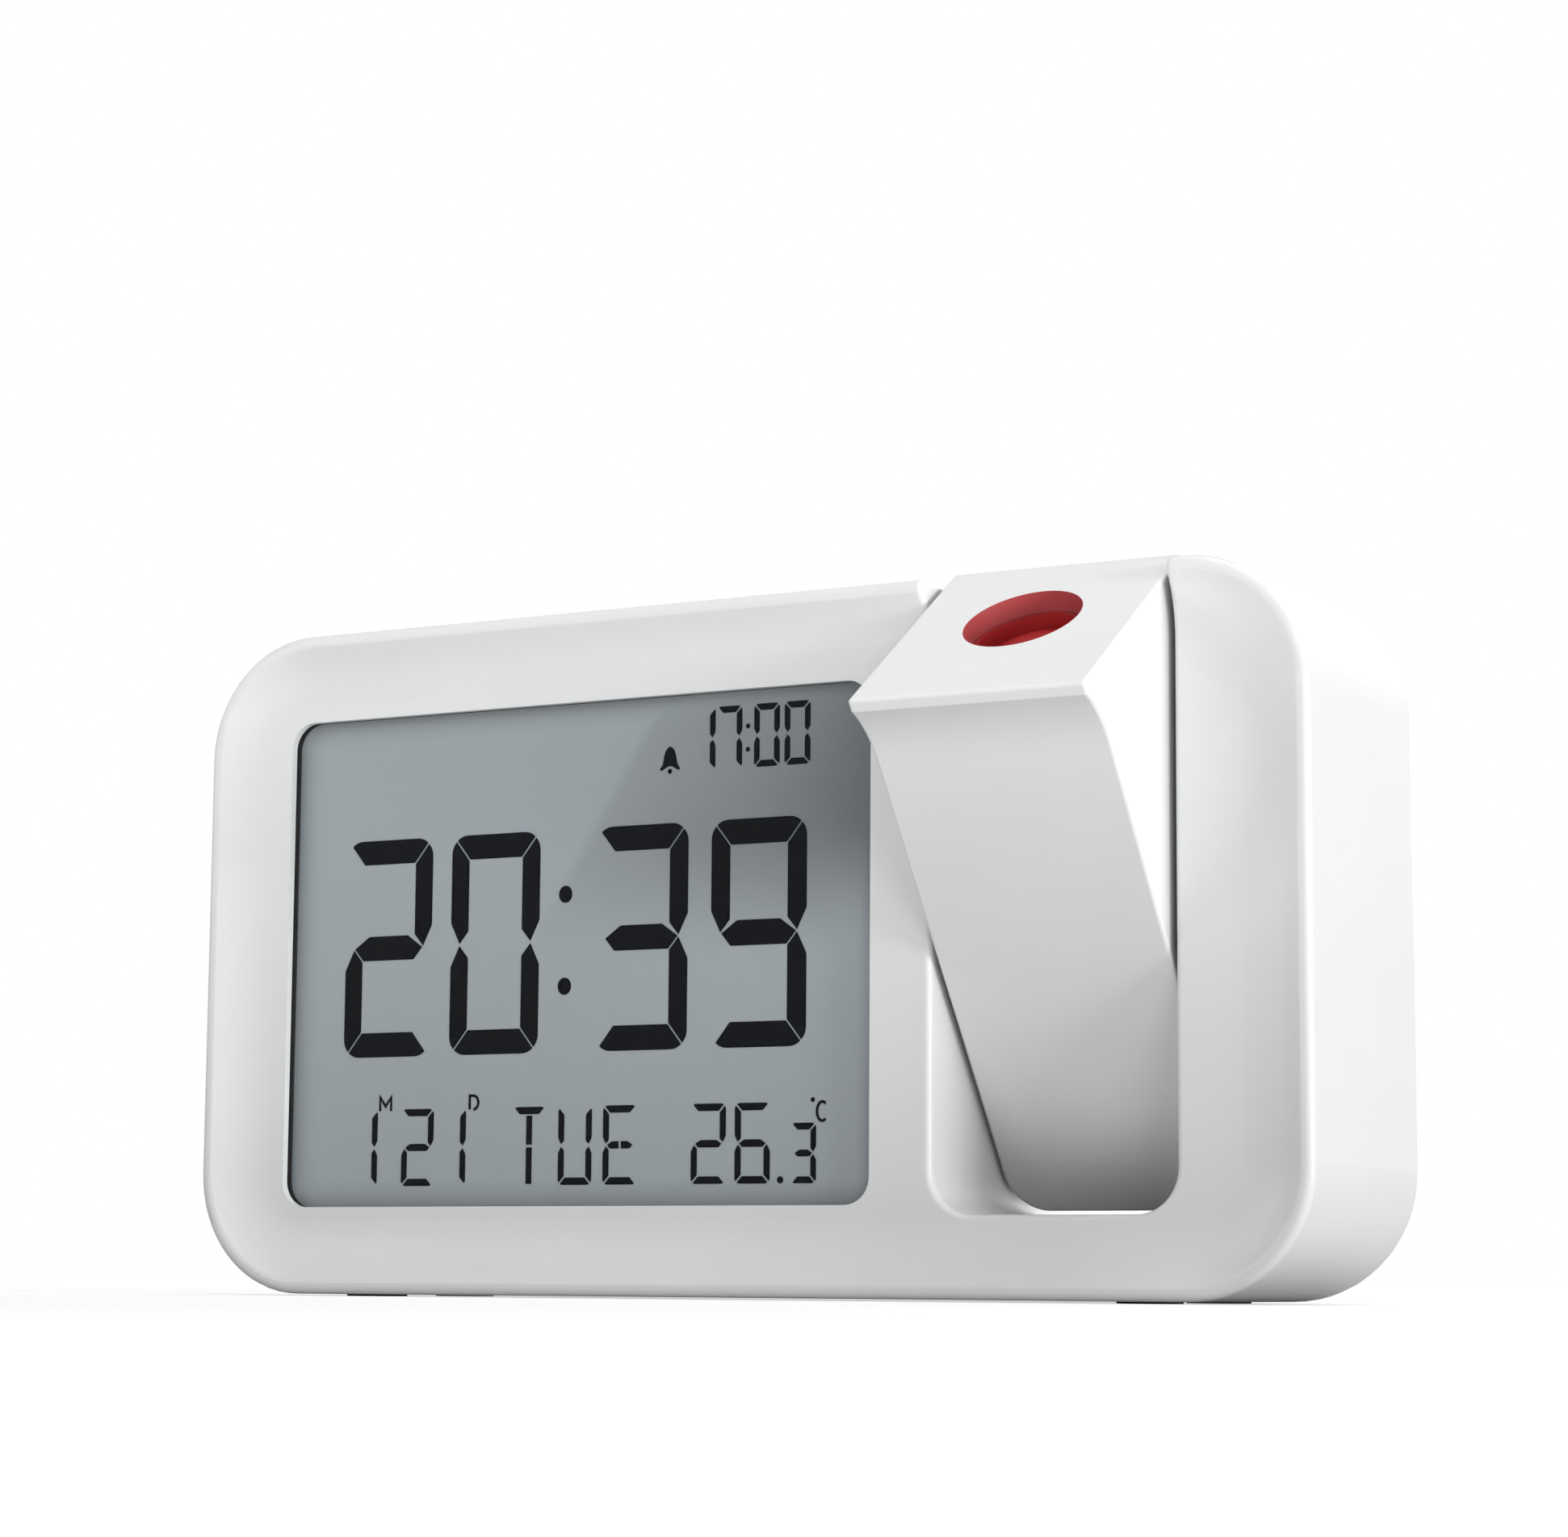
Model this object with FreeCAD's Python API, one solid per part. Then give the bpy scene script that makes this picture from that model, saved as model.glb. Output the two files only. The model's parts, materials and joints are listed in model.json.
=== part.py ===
import FreeCAD, Part
import math
import os

from FreeCAD import Vector

# Projection alarm clock. Millimetres, +X to the right of the display, +Y to the back, +Z up.
# The origin is on the table, under the middle of the case.

# Case
CASE_WIDTH = 160.0
CASE_HEIGHT = 88.0
CASE_DEPTH = 36.2
CASE_CORNER_RADIUS = 16.0
CASE_WALL = 2.0
FOOT_STANDOFF = 0.25

# Dished front
LIP_ROUNDING = 1.0
LIP_WIDTH = 1.6
COVE_WIDTH = 8.0
DISH_DEPTH = 2.4
BEZEL_THICKNESS = 2.0
BACK_EDGE_ROUNDING = 3.0
REAR_COVER_DEPTH = 3.2

# Display
WINDOW_CORNER_RADIUS = 3.5
WINDOW_LEFT_MARGIN = 12.0
WINDOW_BOTTOM_MARGIN = 11.4
WINDOW_TOP_MARGIN = 11.5
WINDOW_TO_SLOT = 8.4
WINDOW_RECESS = 1.0
WINDOW_OVERLAP = 2.0
WINDOW_THICKNESS = 1.2
TAPE_THICKNESS = 0.2
LCD_OVERLAP = 2.4
LCD_THICKNESS = 2.2
LIGHT_GUIDE_OVERLAP = 0.6
LIGHT_GUIDE_THICKNESS = 3.0
REFLECTOR_THICKNESS = 0.2
FRAME_BORDER = 2.4
FRAME_BACK_LIP = 1.0
FRAME_LIP_WIDTH = 2.6
BACKLIGHT_COUNT = 3
BACKLIGHT_SIZE = 3.0
BACKLIGHT_DEPTH = 1.4
ZEBRA_INSET = 6.1
ZEBRA_WIDTH = 1.4
DISPLAY_EAR_RADIUS = 1.9
DISPLAY_EAR_THICKNESS = 1.6
DISPLAY_EAR_INSET = 13.0

# Slot for the projector arm
SLOT_WIDTH = 32.5
SLOT_RIGHT_MARGIN = 18.1
SLOT_FLOOR = 10.2
SLOT_CORNER_RADIUS = 5.5
SLOT_EDGE_ROUNDING = 0.8

# Projector arm
ARM_SIDE_GAP = 0.8
ARM_FLOOR_GAP = 0.35
ARM_TILT = 35.2
ARM_WALL = 1.8
ARM_CORNER_RADIUS = 5.0
ARM_BACK_ROUNDING = 3.0
ARM_EDGE_ROUNDING = 0.5
ARM_TOP = 41.7

# Pivot
TRUNNION_RADIUS = 3.0
TRUNNION_BORE_RADIUS = 1.5
TRUNNION_FLANGE_RADIUS = 7.0
TRUNNION_FLANGE_THICKNESS = 1.5
TRUNNION_REACH = 3.0
BUSH_RADIUS = 4.5
BUSH_FLANGE_RADIUS = 6.2
BUSH_FLANGE_THICKNESS = 0.4
FRICTION_RING_RADIUS = 4.3
FRICTION_RING_THICKNESS = 0.9
CLIP_THICKNESS = 0.6
CLIP_RADIUS = 4.4
CLIP_GROOVE_DEPTH = 0.5

LEAD_RADIUS = 0.8
LEAD_PLUG_GAP = 5.0
LEAD_PLUG_LENGTH = 6.0
LEAD_GAP = 0.3
LEAD_BEND_RADIUS = 2.3

# Projector optics, measured along the arm from the pivot
OPTIC_OFFSET = 1.0
LENS_OPENING_RADIUS = 7.4
LENS_OPENING_DEPTH = 2.7
LENS_COLLAR_WALL = 1.5
LENS_COLLAR_LENGTH = 7.0
LENS_CELL_LENGTH = 12.0
LENS_CELL_RIM = 0.7
LENS_RADIUS_OF_CURVE = 14.0
LENS_EDGE = 1.6
LENS_SETBACK = 0.4
FOCUS_TRAVEL = 1.2
TUBE_RADIUS = 8.6
TUBE_WALL = 1.4
TUBE_BASE = -12.0
TUBE_TOP = 22.0
TUBE_FLANGE_THICKNESS = 1.6
CONDENSER_TOP = -2.5
CONDENSER_EDGE = 1.5
CONDENSER_RADIUS_OF_CURVE = 11.0
SHOULDER_DEPTH = 1.0
SHOULDER_HEIGHT = 1.2
SLIDE_BASE = 6.0
SLIDE_WIDTH = 10.0
SLIDE_HEIGHT = 8.6
SLIDE_THICKNESS = 1.4
LED_RADIUS = 2.5
LED_FLANGE_RADIUS = 2.9
LED_LENGTH = 7.8
ARM_BOARD_BASE = -21.3
BOARD_THICKNESS = 1.6
RAIL_THICKNESS = 1.2
RAIL_REACH = 1.5

# Focus wheel, a thumbwheel whose pinion moves a rack on the lens cell
GEAR_MODULE = 0.5
PINION_TEETH = 10
GEAR_BACKLASH = 0.16
RACK_TEETH = 5
FOCUS_WHEEL_RADIUS = 7.0
FOCUS_WHEEL_PROUD = 1.9
FOCUS_WHEEL_HEIGHT = 29.0
FOCUS_WHEEL_WIDTH = 3.3
FOCUS_WHEEL_GRIPS = 24
GRIP_RADIUS = 0.45
PINION_OFFSET = 4.6
PINION_WIDTH = 3.8
FOCUS_PIN_RADIUS = 1.2
EAR_THICKNESS = 1.2

# Boards
MAIN_BOARD_GAP = 1.9
BOARD_INSET = 0.4
REAR_BOARD_HEIGHT = 34.0
REAR_BOARD_LEFT_MARGIN = 16.0
REAR_BOARD_TO_SLOT = 7.4
REAR_BOARD_TOP_MARGIN = 12.0
REAR_BOARD_GAP = 5.5
POST_RADIUS = 2.2
POST_INSET = 3.0
HEADER_PINS = 8
HEADER_PITCH = 2.54
HEADER_HEIGHT = 2.5
HEADER_PIN_WIDTH = 0.64
CHIP_SIZE = 12.0
CHIP_THICKNESS = 1.4
CHIP_OFFSET = 14.0
CHIP_DROP = 6.0
CHIP_LEADS = 12
CHIP_LEAD_PITCH = 0.9
CHIP_LEAD_LENGTH = 1.4
CHIP_LEAD_WIDTH = 0.4
CHIP_LEAD_THICKNESS = 0.5
CRYSTAL_RADIUS = 1.0
CRYSTAL_LENGTH = 6.0
CRYSTAL_OFFSET = 2.0
PART_COLUMNS = 5
PART_ROWS = 3
PART_COLUMN_PITCH = 4.0
PART_ROW_PITCH = 3.5
PART_INSET = 15.0
PART_RISE = 14.0
PART_WIDTH = 2.0
PART_HEIGHT = 1.2
PART_THICKNESS = 0.8

# Keys on the back and the snooze bar on top
KEY_NAMES = ("mode", "set", "up", "down", "alarm")
KEY_FIRST_INSET = 14.0
KEY_HEIGHT_ON_BOARD = 22.0
KEY_SPACING = 4.4
KEY_HEIGHT = 5.2
KEY_END_FLAT = 0.4
KEY_PROUD = 0.9
KEY_TRAVEL = 0.5
KEY_FLANGE = 1.0
KEY_FLANGE_THICKNESS = 1.0
KEY_GAP = 0.3
SWITCH_BODY = 6.0
SWITCH_HEIGHT = 2.4
SWITCH_PLUNGER = 0.7
SWITCH_PLUNGER_RADIUS = 1.6
SNOOZE_LENGTH = 56.0
SNOOZE_WIDTH = 12.0
SNOOZE_PROUD = 1.0
SNOOZE_TRAVEL = 0.6
SNOOZE_FLANGE = 1.4
SNOOZE_FLANGE_THICKNESS = 1.0
SNOOZE_LEG_SPACING = 36.0
SNOOZE_OFFSET = -1.0
SNOOZE_LEG_LENGTH = 3.0
SLIDER_INSET = 12.0
SLIDER_LENGTH = 5.0
SLIDER_HEIGHT = 3.0
SLIDER_TRAVEL = 1.5

# Socket, buzzer and sensor on the rear board
SOCKET_INSET = 14.0
SOCKET_WIDTH = 7.6
SOCKET_HEIGHT = 2.8
SOCKET_WALL = 0.4
SOCKET_MOUTH_DEPTH = 0.4
BUZZER_INSET = 18.0
BUZZER_RADIUS = 6.0
LOW_ROW_ON_BOARD = 8.5
SENSOR_INSET = 42.0
SENSOR_RADIUS = 1.3
GRILLE_HOLE_RADIUS = 0.7
VENT_LENGTH = 9.0
VENT_WIDTH = 1.2

# Battery bay
CELL_RADIUS = 5.25
CELL_LENGTH = 43.3
CELL_TIP_LENGTH = 1.2
CELL_TIP_RADIUS = 1.9
CELL_GAP = 0.3
SPRING_LENGTH = 5.6
SPRING_RADIUS = 3.0
SPRING_WIRE_RADIUS = 0.35
SPRING_PITCH = 1.6
CONTACT_THICKNESS = 0.4
CONTACT_SIZE = 8.0
BAY_WALL = 1.2
BAY_LEFT_MARGIN = 9.0
BAY_BASE = 9.0
BATTERY_COVER_THICKNESS = 1.2
BATTERY_COVER_BORDER = 1.6
COVER_GRIPS = 5
COVER_GRIP_LENGTH = 12.0
COVER_GRIP_WIDTH = 0.6
COVER_GRIP_DEPTH = 0.4
COVER_GRIP_PITCH = 1.4
COVER_GRIP_INSET = 1.0
COVER_RIB_HEIGHT = 1.5
COVER_RIB_WIDTH = 1.0
COVER_RIB_INSET = 4.0
COVER_GAP = 0.15

# Fasteners and feet
SCREW_RADIUS = 1.0
SCREW_HEAD_RADIUS = 1.9
SCREW_HEAD_HEIGHT = 0.9
SCREW_LENGTH = 8.0
SHORT_SCREW_LENGTH = 4.0
SCREW_CLEARANCE = 0.05
SMALL_SCREW_RADIUS = 0.7
SMALL_SCREW_HEAD_RADIUS = 1.3
SMALL_SCREW_HEAD_HEIGHT = 0.7
BOSS_RADIUS = 2.2
BOSS_GAP = 0.3
RIGHT_SCREW_INSET = 12.0
FOOT_RADIUS = 4.0
FOOT_THICKNESS = 1.05
FOOT_GAP = 0.1
FOOT_INSET_X = 24.0
FOOT_INSET_Y = 7.8

# Clearances
FIT = 0.1
RUNNING_FIT = 0.05
SLIDING_FIT = 0.08
BEYOND = 30.0

# Planes and centres that follow from the sizes above
LEFT_X = -CASE_WIDTH / 2
RIGHT_X = CASE_WIDTH / 2
FRONT_Y = -CASE_DEPTH / 2
BACK_Y = CASE_DEPTH / 2
BASE_Z = FOOT_STANDOFF
TOP_Z = BASE_Z + CASE_HEIGHT
CASE_MIDDLE_Z = (BASE_Z + TOP_Z) / 2
BEZEL_Y = FRONT_Y + DISH_DEPTH
BEZEL_BACK_Y = BEZEL_Y + BEZEL_THICKNESS
BACK_INNER_Y = BACK_Y - CASE_WALL
PART_LINE_Y = BACK_Y - REAR_COVER_DEPTH
DISH_BORDER = LIP_WIDTH + COVE_WIDTH

SLOT_X = RIGHT_X - SLOT_RIGHT_MARGIN - SLOT_WIDTH / 2
SLOT_LEFT_X = SLOT_X - SLOT_WIDTH / 2
SLOT_RIGHT_X = SLOT_X + SLOT_WIDTH / 2
SLOT_FLOOR_Z = BASE_Z + SLOT_FLOOR

WINDOW_WIDTH = SLOT_LEFT_X - WINDOW_TO_SLOT - LEFT_X - WINDOW_LEFT_MARGIN
WINDOW_HEIGHT = CASE_HEIGHT - WINDOW_BOTTOM_MARGIN - WINDOW_TOP_MARGIN
WINDOW_X = LEFT_X + WINDOW_LEFT_MARGIN + WINDOW_WIDTH / 2
WINDOW_Z = BASE_Z + WINDOW_BOTTOM_MARGIN + WINDOW_HEIGHT / 2
WINDOW_FRONT_Y = BEZEL_Y + WINDOW_RECESS
WINDOW_BACK_Y = WINDOW_FRONT_Y + WINDOW_THICKNESS
LCD_FRONT_Y = WINDOW_BACK_Y + TAPE_THICKNESS
LCD_BACK_Y = LCD_FRONT_Y + LCD_THICKNESS
LIGHT_GUIDE_BACK_Y = LCD_BACK_Y + LIGHT_GUIDE_THICKNESS
REFLECTOR_BACK_Y = LIGHT_GUIDE_BACK_Y + REFLECTOR_THICKNESS
FRAME_BACK_Y = REFLECTOR_BACK_Y + FRAME_BACK_LIP
LCD_WIDTH = WINDOW_WIDTH + 2 * LCD_OVERLAP
LCD_HEIGHT = WINDOW_HEIGHT + 2 * LCD_OVERLAP
FRAME_WIDTH = LCD_WIDTH + 2 * FIT + 2 * FRAME_BORDER
FRAME_HEIGHT = LCD_HEIGHT + 2 * FIT + 2 * FRAME_BORDER
LIGHT_GUIDE_WIDTH = WINDOW_WIDTH + 2 * LIGHT_GUIDE_OVERLAP
LIGHT_GUIDE_HEIGHT = WINDOW_HEIGHT + 2 * LIGHT_GUIDE_OVERLAP
ZEBRA_LENGTH = LIGHT_GUIDE_WIDTH - 2 * ZEBRA_INSET
MAIN_BOARD_FRONT_Y = FRAME_BACK_Y + MAIN_BOARD_GAP
MAIN_BOARD_BACK_Y = MAIN_BOARD_FRONT_Y + BOARD_THICKNESS

PIVOT = Vector(SLOT_X, 0, TOP_Z - ARM_TOP)
ARM_HALF_WIDTH = SLOT_WIDTH / 2 - ARM_SIDE_GAP
ARM_FRONT = BEZEL_Y
ARM_BACK = BACK_Y
ARM_END_RADIUS = PIVOT.z - SLOT_FLOOR_Z - ARM_FLOOR_GAP
ARM_INNER_HALF_WIDTH = ARM_HALF_WIDTH - ARM_WALL
ARM_INNER_BACK = ARM_BACK - ARM_WALL
ARM_INNER_FRONT = ARM_FRONT + ARM_WALL
ARM_INNER_TOP = ARM_TOP - ARM_WALL
ARM_COVER_TOP = ARM_TOP - ARM_BACK_ROUNDING - 1.2
ARM_COVER_BASE = -ARM_END_RADIUS + ARM_WALL + ARM_CORNER_RADIUS + 3.0

REAR_BOARD_BACK_Y = BACK_INNER_Y - REAR_BOARD_GAP
REAR_BOARD_FRONT_Y = REAR_BOARD_BACK_Y - BOARD_THICKNESS
REAR_BOARD_LEFT_X = LEFT_X + REAR_BOARD_LEFT_MARGIN
REAR_BOARD_WIDTH = SLOT_LEFT_X - REAR_BOARD_TO_SLOT - REAR_BOARD_LEFT_X
REAR_BOARD_Z = TOP_Z - REAR_BOARD_TOP_MARGIN - REAR_BOARD_HEIGHT
KEY_Z = REAR_BOARD_Z + KEY_HEIGHT_ON_BOARD
LOW_ROW_Z = REAR_BOARD_Z + LOW_ROW_ON_BOARD
REAR_BOARD_RIGHT_X = REAR_BOARD_LEFT_X + REAR_BOARD_WIDTH
SLIDER_X = REAR_BOARD_RIGHT_X - SLIDER_INSET
SOCKET_X = REAR_BOARD_RIGHT_X - SOCKET_INSET
KEY_FIRST_X = REAR_BOARD_LEFT_X + KEY_FIRST_INSET
KEY_PITCH = (SLIDER_X - KEY_FIRST_X) / len(KEY_NAMES)
KEY_WIDTH = KEY_PITCH - KEY_SPACING
KEY_CORNER_RADIUS = min(KEY_WIDTH, KEY_HEIGHT) / 2 - KEY_END_FLAT

CONTACT_ROOM = 2 * CONTACT_THICKNESS + SPRING_LENGTH
BAY_LENGTH = CELL_LENGTH + CELL_TIP_LENGTH + CONTACT_ROOM
BAY_HEIGHT = 4 * CELL_RADIUS + 3 * CELL_GAP
BAY_LEFT_X = LEFT_X + BAY_LEFT_MARGIN
BAY_RIGHT_X = BAY_LEFT_X + BAY_LENGTH
BAY_LOW_Z = BASE_Z + BAY_BASE
BAY_HIGH_Z = BAY_LOW_Z + BAY_HEIGHT
BATTERY_COVER_Y = BACK_Y - BATTERY_COVER_THICKNESS
CELL_Y = BATTERY_COVER_Y - CELL_GAP - CELL_RADIUS
BAY_FLOOR_Y = CELL_Y - CELL_RADIUS - CELL_GAP

PINION_RADIUS = GEAR_MODULE * PINION_TEETH / 2
FOCUS_WHEEL_DEPTH = ARM_BACK + FOCUS_WHEEL_PROUD - FOCUS_WHEEL_RADIUS
RACK_PITCH_LINE = FOCUS_WHEEL_DEPTH - PINION_RADIUS
LENS_CELL_TOP = ARM_TOP - LENS_OPENING_DEPTH
LENS_CELL_RADIUS = LENS_OPENING_RADIUS - SLIDING_FIT
LENS_CELL_BASE = LENS_CELL_TOP - LENS_CELL_LENGTH
WHEEL_OFFSET = PINION_OFFSET + PINION_WIDTH

SNOOZE_UNDERSIDE_Z = TOP_Z - CASE_WALL - KEY_GAP
SNOOZE_FLANGE_Z = SNOOZE_UNDERSIDE_Z - SNOOZE_FLANGE_THICKNESS
SNOOZE_SWITCH_HIGH_Z = SNOOZE_FLANGE_Z - SNOOZE_LEG_LENGTH
MAIN_BOARD_HIGH_Z = SNOOZE_SWITCH_HIGH_Z - SWITCH_PLUNGER - BOARD_INSET
MAIN_BOARD_LOW_Z = WINDOW_Z - FRAME_HEIGHT / 2 + BOARD_INSET
MAIN_BOARD_LEFT_X = WINDOW_X - FRAME_WIDTH / 2 + BOARD_INSET
MAIN_BOARD_RIGHT_X = WINDOW_X + FRAME_WIDTH / 2 - BOARD_INSET
TRUNNION_LEFT_END_X = SLOT_LEFT_X - CASE_WALL - TRUNNION_REACH


def box(x0, x1, y0, y1, z0, z1):
    """A block between two corners."""
    return Part.makeBox(x1 - x0, y1 - y0, z1 - z0, Vector(x0, y0, z0))


def rod_x(radius, x0, x1, y, z):
    """A round bar along X."""
    return Part.makeCylinder(radius, x1 - x0, Vector(x0, y, z), Vector(1, 0, 0))


def rod_y(radius, x, y0, y1, z):
    """A round bar along Y."""
    return Part.makeCylinder(radius, y1 - y0, Vector(x, y0, z), Vector(0, 1, 0))


def rod_z(radius, x, y, z0, z1):
    """A round bar along Z."""
    return Part.makeCylinder(radius, z1 - z0, Vector(x, y, z0), Vector(0, 0, 1))


def joined(shapes):
    """Several overlapping shapes as one solid."""
    whole = shapes[0].fuse(shapes[1:]) if len(shapes) > 1 else shapes[0]
    return whole.removeSplitter()


def corner_arc(centre_x, centre_z, radius, start_degrees, y):
    """A quarter circle in the plane of the front, turning from +X towards +Z."""
    points = []
    for turn in (0, 45, 90):
        angle = math.radians(start_degrees + turn)
        points.append(Vector(centre_x + radius * math.cos(angle), y, centre_z + radius * math.sin(angle)))
    return Part.Arc(*points).toShape()


def rounded_plate(centre_x, centre_z, width, height, radius, y0, y1):
    """A rounded rectangle seen from the front, between two depths."""
    across = width / 2 - radius
    up = height / 2 - radius
    arcs = [
        corner_arc(centre_x + across, centre_z + up, radius, 0, y0),
        corner_arc(centre_x - across, centre_z + up, radius, 90, y0),
        corner_arc(centre_x - across, centre_z - up, radius, 180, y0),
        corner_arc(centre_x + across, centre_z - up, radius, 270, y0),
    ]
    edges = []
    for arc, following in zip(arcs, arcs[1:] + arcs[:1]):
        edges.append(arc)
        edges.append(Part.makeLine(arc.Vertexes[-1].Point, following.Vertexes[0].Point))
    return Part.Face(Part.Wire(edges)).extrude(Vector(0, y1 - y0, 0))


def rounded_block(x0, x1, y0, y1, z0, z1, radius):
    """A block whose four upright edges are rounded."""
    block = box(x0, x1, y0, y1, z0, z1)
    upright = [edge for edge in block.Edges if abs(edge.tangentAt(0).z) > 0.9]
    return block.makeFillet(radius, upright)


def screw(x, y, z, radius, length, head_radius, head_height, towards):
    """A pan-head screw: its seat is at the point, and its shank runs the way it is driven."""
    shank = Part.makeCylinder(radius, length, Vector(x, y, z), towards)
    head = Part.makeCylinder(head_radius, head_height, Vector(x, y, z), towards * -1)
    recess_centre = Vector(x, y, z) - towards * head_height
    arms = []
    for turn in (0, 90):
        arm = box(
            -0.15 * head_radius, 0.15 * head_radius, -0.6 * head_radius, 0.6 * head_radius, 0, head_height / 2
        )
        arm.rotate(Vector(0, 0, 0), Vector(0, 0, 1), turn)
        arm.Placement = FreeCAD.Placement(recess_centre, FreeCAD.Rotation(Vector(0, 0, 1), towards)).multiply(
            arm.Placement
        )
        arms.append(arm)
    return joined([shank, head]).cut(arms)


def on_arm(shape):
    """A piece of the upright arm, turned to the tilt that it rests at."""
    turned = shape.copy()
    turned.rotate(PIVOT, Vector(1, 0, 0), ARM_TILT)
    return turned


def arm_box(u0, u1, s0, s1, t0, t1):
    """A block on the upright arm: across and along it from the pivot, and in depth."""
    return box(SLOT_X + u0, SLOT_X + u1, s0, s1, PIVOT.z + t0, PIVOT.z + t1)


def optic_rod(radius, t0, t1):
    """A round bar on the optical axis of the upright arm."""
    return rod_z(radius, SLOT_X, OPTIC_OFFSET, PIVOT.z + t0, PIVOT.z + t1)


# Form of the case

def cove_section(place):
    """The hollow that leads from the lip down to the flat of the dish."""
    curve_radius = (COVE_WIDTH ** 2 + DISH_DEPTH ** 2) / (2 * DISH_DEPTH)
    curve_y = BEZEL_Y - curve_radius
    half_turn = math.asin(COVE_WIDTH / curve_radius) / 2
    middle = place(
        DISH_BORDER - curve_radius * math.sin(half_turn), curve_y + curve_radius * math.cos(half_turn)
    )
    ahead = FRONT_Y - BEYOND / 10
    edges = [
        Part.makeLine(place(LIP_WIDTH, ahead), place(LIP_WIDTH, FRONT_Y)),
        Part.Arc(place(LIP_WIDTH, FRONT_Y), middle, place(DISH_BORDER, BEZEL_Y)).toShape(),
        Part.makeLine(place(DISH_BORDER, BEZEL_Y), place(DISH_BORDER, ahead)),
        Part.makeLine(place(DISH_BORDER, ahead), place(LIP_WIDTH, ahead)),
    ]
    return Part.Face(Part.Wire(edges))


def dish():
    """What the dished front takes out of the case: a flat middle and a cove all round it."""
    across = CASE_WIDTH / 2 - CASE_CORNER_RADIUS
    up = CASE_HEIGHT / 2 - CASE_CORNER_RADIUS
    pieces = [
        rounded_plate(
            0,
            CASE_MIDDLE_Z,
            CASE_WIDTH - 2 * DISH_BORDER,
            CASE_HEIGHT - 2 * DISH_BORDER,
            CASE_CORNER_RADIUS - DISH_BORDER,
            FRONT_Y - BEYOND / 10,
            BEZEL_Y,
        )
    ]
    for quarter, (half, run) in enumerate(((across, up), (up, across), (across, up), (up, across))):
        side = cove_section(lambda inward, y: Vector(half + CASE_CORNER_RADIUS - inward, y, -run))
        straight = side.extrude(Vector(0, 0, 2 * run))
        side.translate(Vector(0, 0, 2 * run))
        bend = side.revolve(Vector(half, 0, run), Vector(0, 1, 0), -90)
        for piece in (straight, bend):
            piece.rotate(Vector(0, 0, 0), Vector(0, 1, 0), -90 * quarter)
            piece.translate(Vector(0, 0, CASE_MIDDLE_Z))
            pieces.append(piece)
    return joined(pieces)


def slot_space(grown):
    """The slot that the arm swings in, open at the front, back and top, or grown by a wall."""
    low = SLOT_FLOOR_Z - grown
    high = TOP_Z + BEYOND
    return rounded_plate(
        SLOT_X,
        (low + high) / 2,
        SLOT_WIDTH + 2 * grown,
        high - low,
        SLOT_CORNER_RADIUS + grown,
        FRONT_Y - BEYOND,
        BACK_Y + BEYOND,
    )


def case_form():
    """The outside of the case: a rounded slab with a dished front, and the slot through it."""
    slab = rounded_plate(0, CASE_MIDDLE_Z, CASE_WIDTH, CASE_HEIGHT, CASE_CORNER_RADIUS, FRONT_Y, BACK_Y)
    for radius, y in ((LIP_ROUNDING, FRONT_Y), (BACK_EDGE_ROUNDING, BACK_Y)):
        rim = [edge for edge in slab.Edges if lies_at(edge, lambda point: point.y - y)]
        slab = slab.makeFillet(radius, rim)
    slotted = slab.cut(dish()).cut(slot_space(0)).removeSplitter()
    mouth = [edge for edge in slot_edges(slotted) if lies_at(edge, lambda point: point.y - BEZEL_Y)]
    slotted = slotted.makeFillet(SLOT_EDGE_ROUNDING, mouth)
    rest = [edge for edge in slot_edges(slotted) if lies_at(edge, lambda point: point.z - TOP_Z)]
    return slotted.makeFillet(SLOT_EDGE_ROUNDING, rest)


def slot_edges(form):
    """The sharp edges round the slot of the case."""
    return sharp_edges(form, SLOT_LEFT_X, SLOT_RIGHT_X)


def lies_at(edge, distance):
    """Whether both ends of an edge lie at no distance from a plane."""
    return all(abs(distance(vertex.Point)) < 0.01 for vertex in edge.Vertexes)


def sharp_edges(form, x0, x1):
    """The edges between two X values at which two faces meet at a real angle."""
    chosen = []
    for edge in form.Edges:
        middle = edge.valueAt((edge.FirstParameter + edge.LastParameter) / 2)
        normals = [
            face.normalAt(*face.Surface.parameter(middle)) for face in form.ancestorsOfType(edge, Part.Face)
        ]
        within = all(x0 - 0.01 <= vertex.Point.x <= x1 + 0.01 for vertex in edge.Vertexes)
        if within and len(normals) == 2 and normals[0].getAngle(normals[1]) > math.radians(20):
            chosen.append(edge)
    return chosen


def case_cavity():
    """The room inside the case, which the walls of the slot divide."""
    room = rounded_plate(
        0,
        CASE_MIDDLE_Z,
        CASE_WIDTH - 2 * CASE_WALL,
        CASE_HEIGHT - 2 * CASE_WALL,
        CASE_CORNER_RADIUS - CASE_WALL,
        BEZEL_BACK_Y,
        BACK_INNER_Y,
    )
    return room.cut(slot_space(CASE_WALL))


def slot_walls():
    """The two walls of the slot, each as its low and high X."""
    return ((SLOT_LEFT_X - CASE_WALL, SLOT_LEFT_X), (SLOT_RIGHT_X, SLOT_RIGHT_X + CASE_WALL))


# Places that several pieces share

def case_screw_places():
    """Where the four case screws stand, as X and Z."""
    left = LEFT_X + CASE_WALL + BOSS_RADIUS + BOSS_GAP
    right = (SLOT_RIGHT_X + CASE_WALL + RIGHT_X - CASE_WALL) / 2
    low = BASE_Z + CASE_CORNER_RADIUS + BOSS_RADIUS
    high = TOP_Z - CASE_CORNER_RADIUS - BOSS_RADIUS
    return (
        (left, low), (left, high), (right, BASE_Z + RIGHT_SCREW_INSET), (right, TOP_Z - RIGHT_SCREW_INSET)
    )


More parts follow.
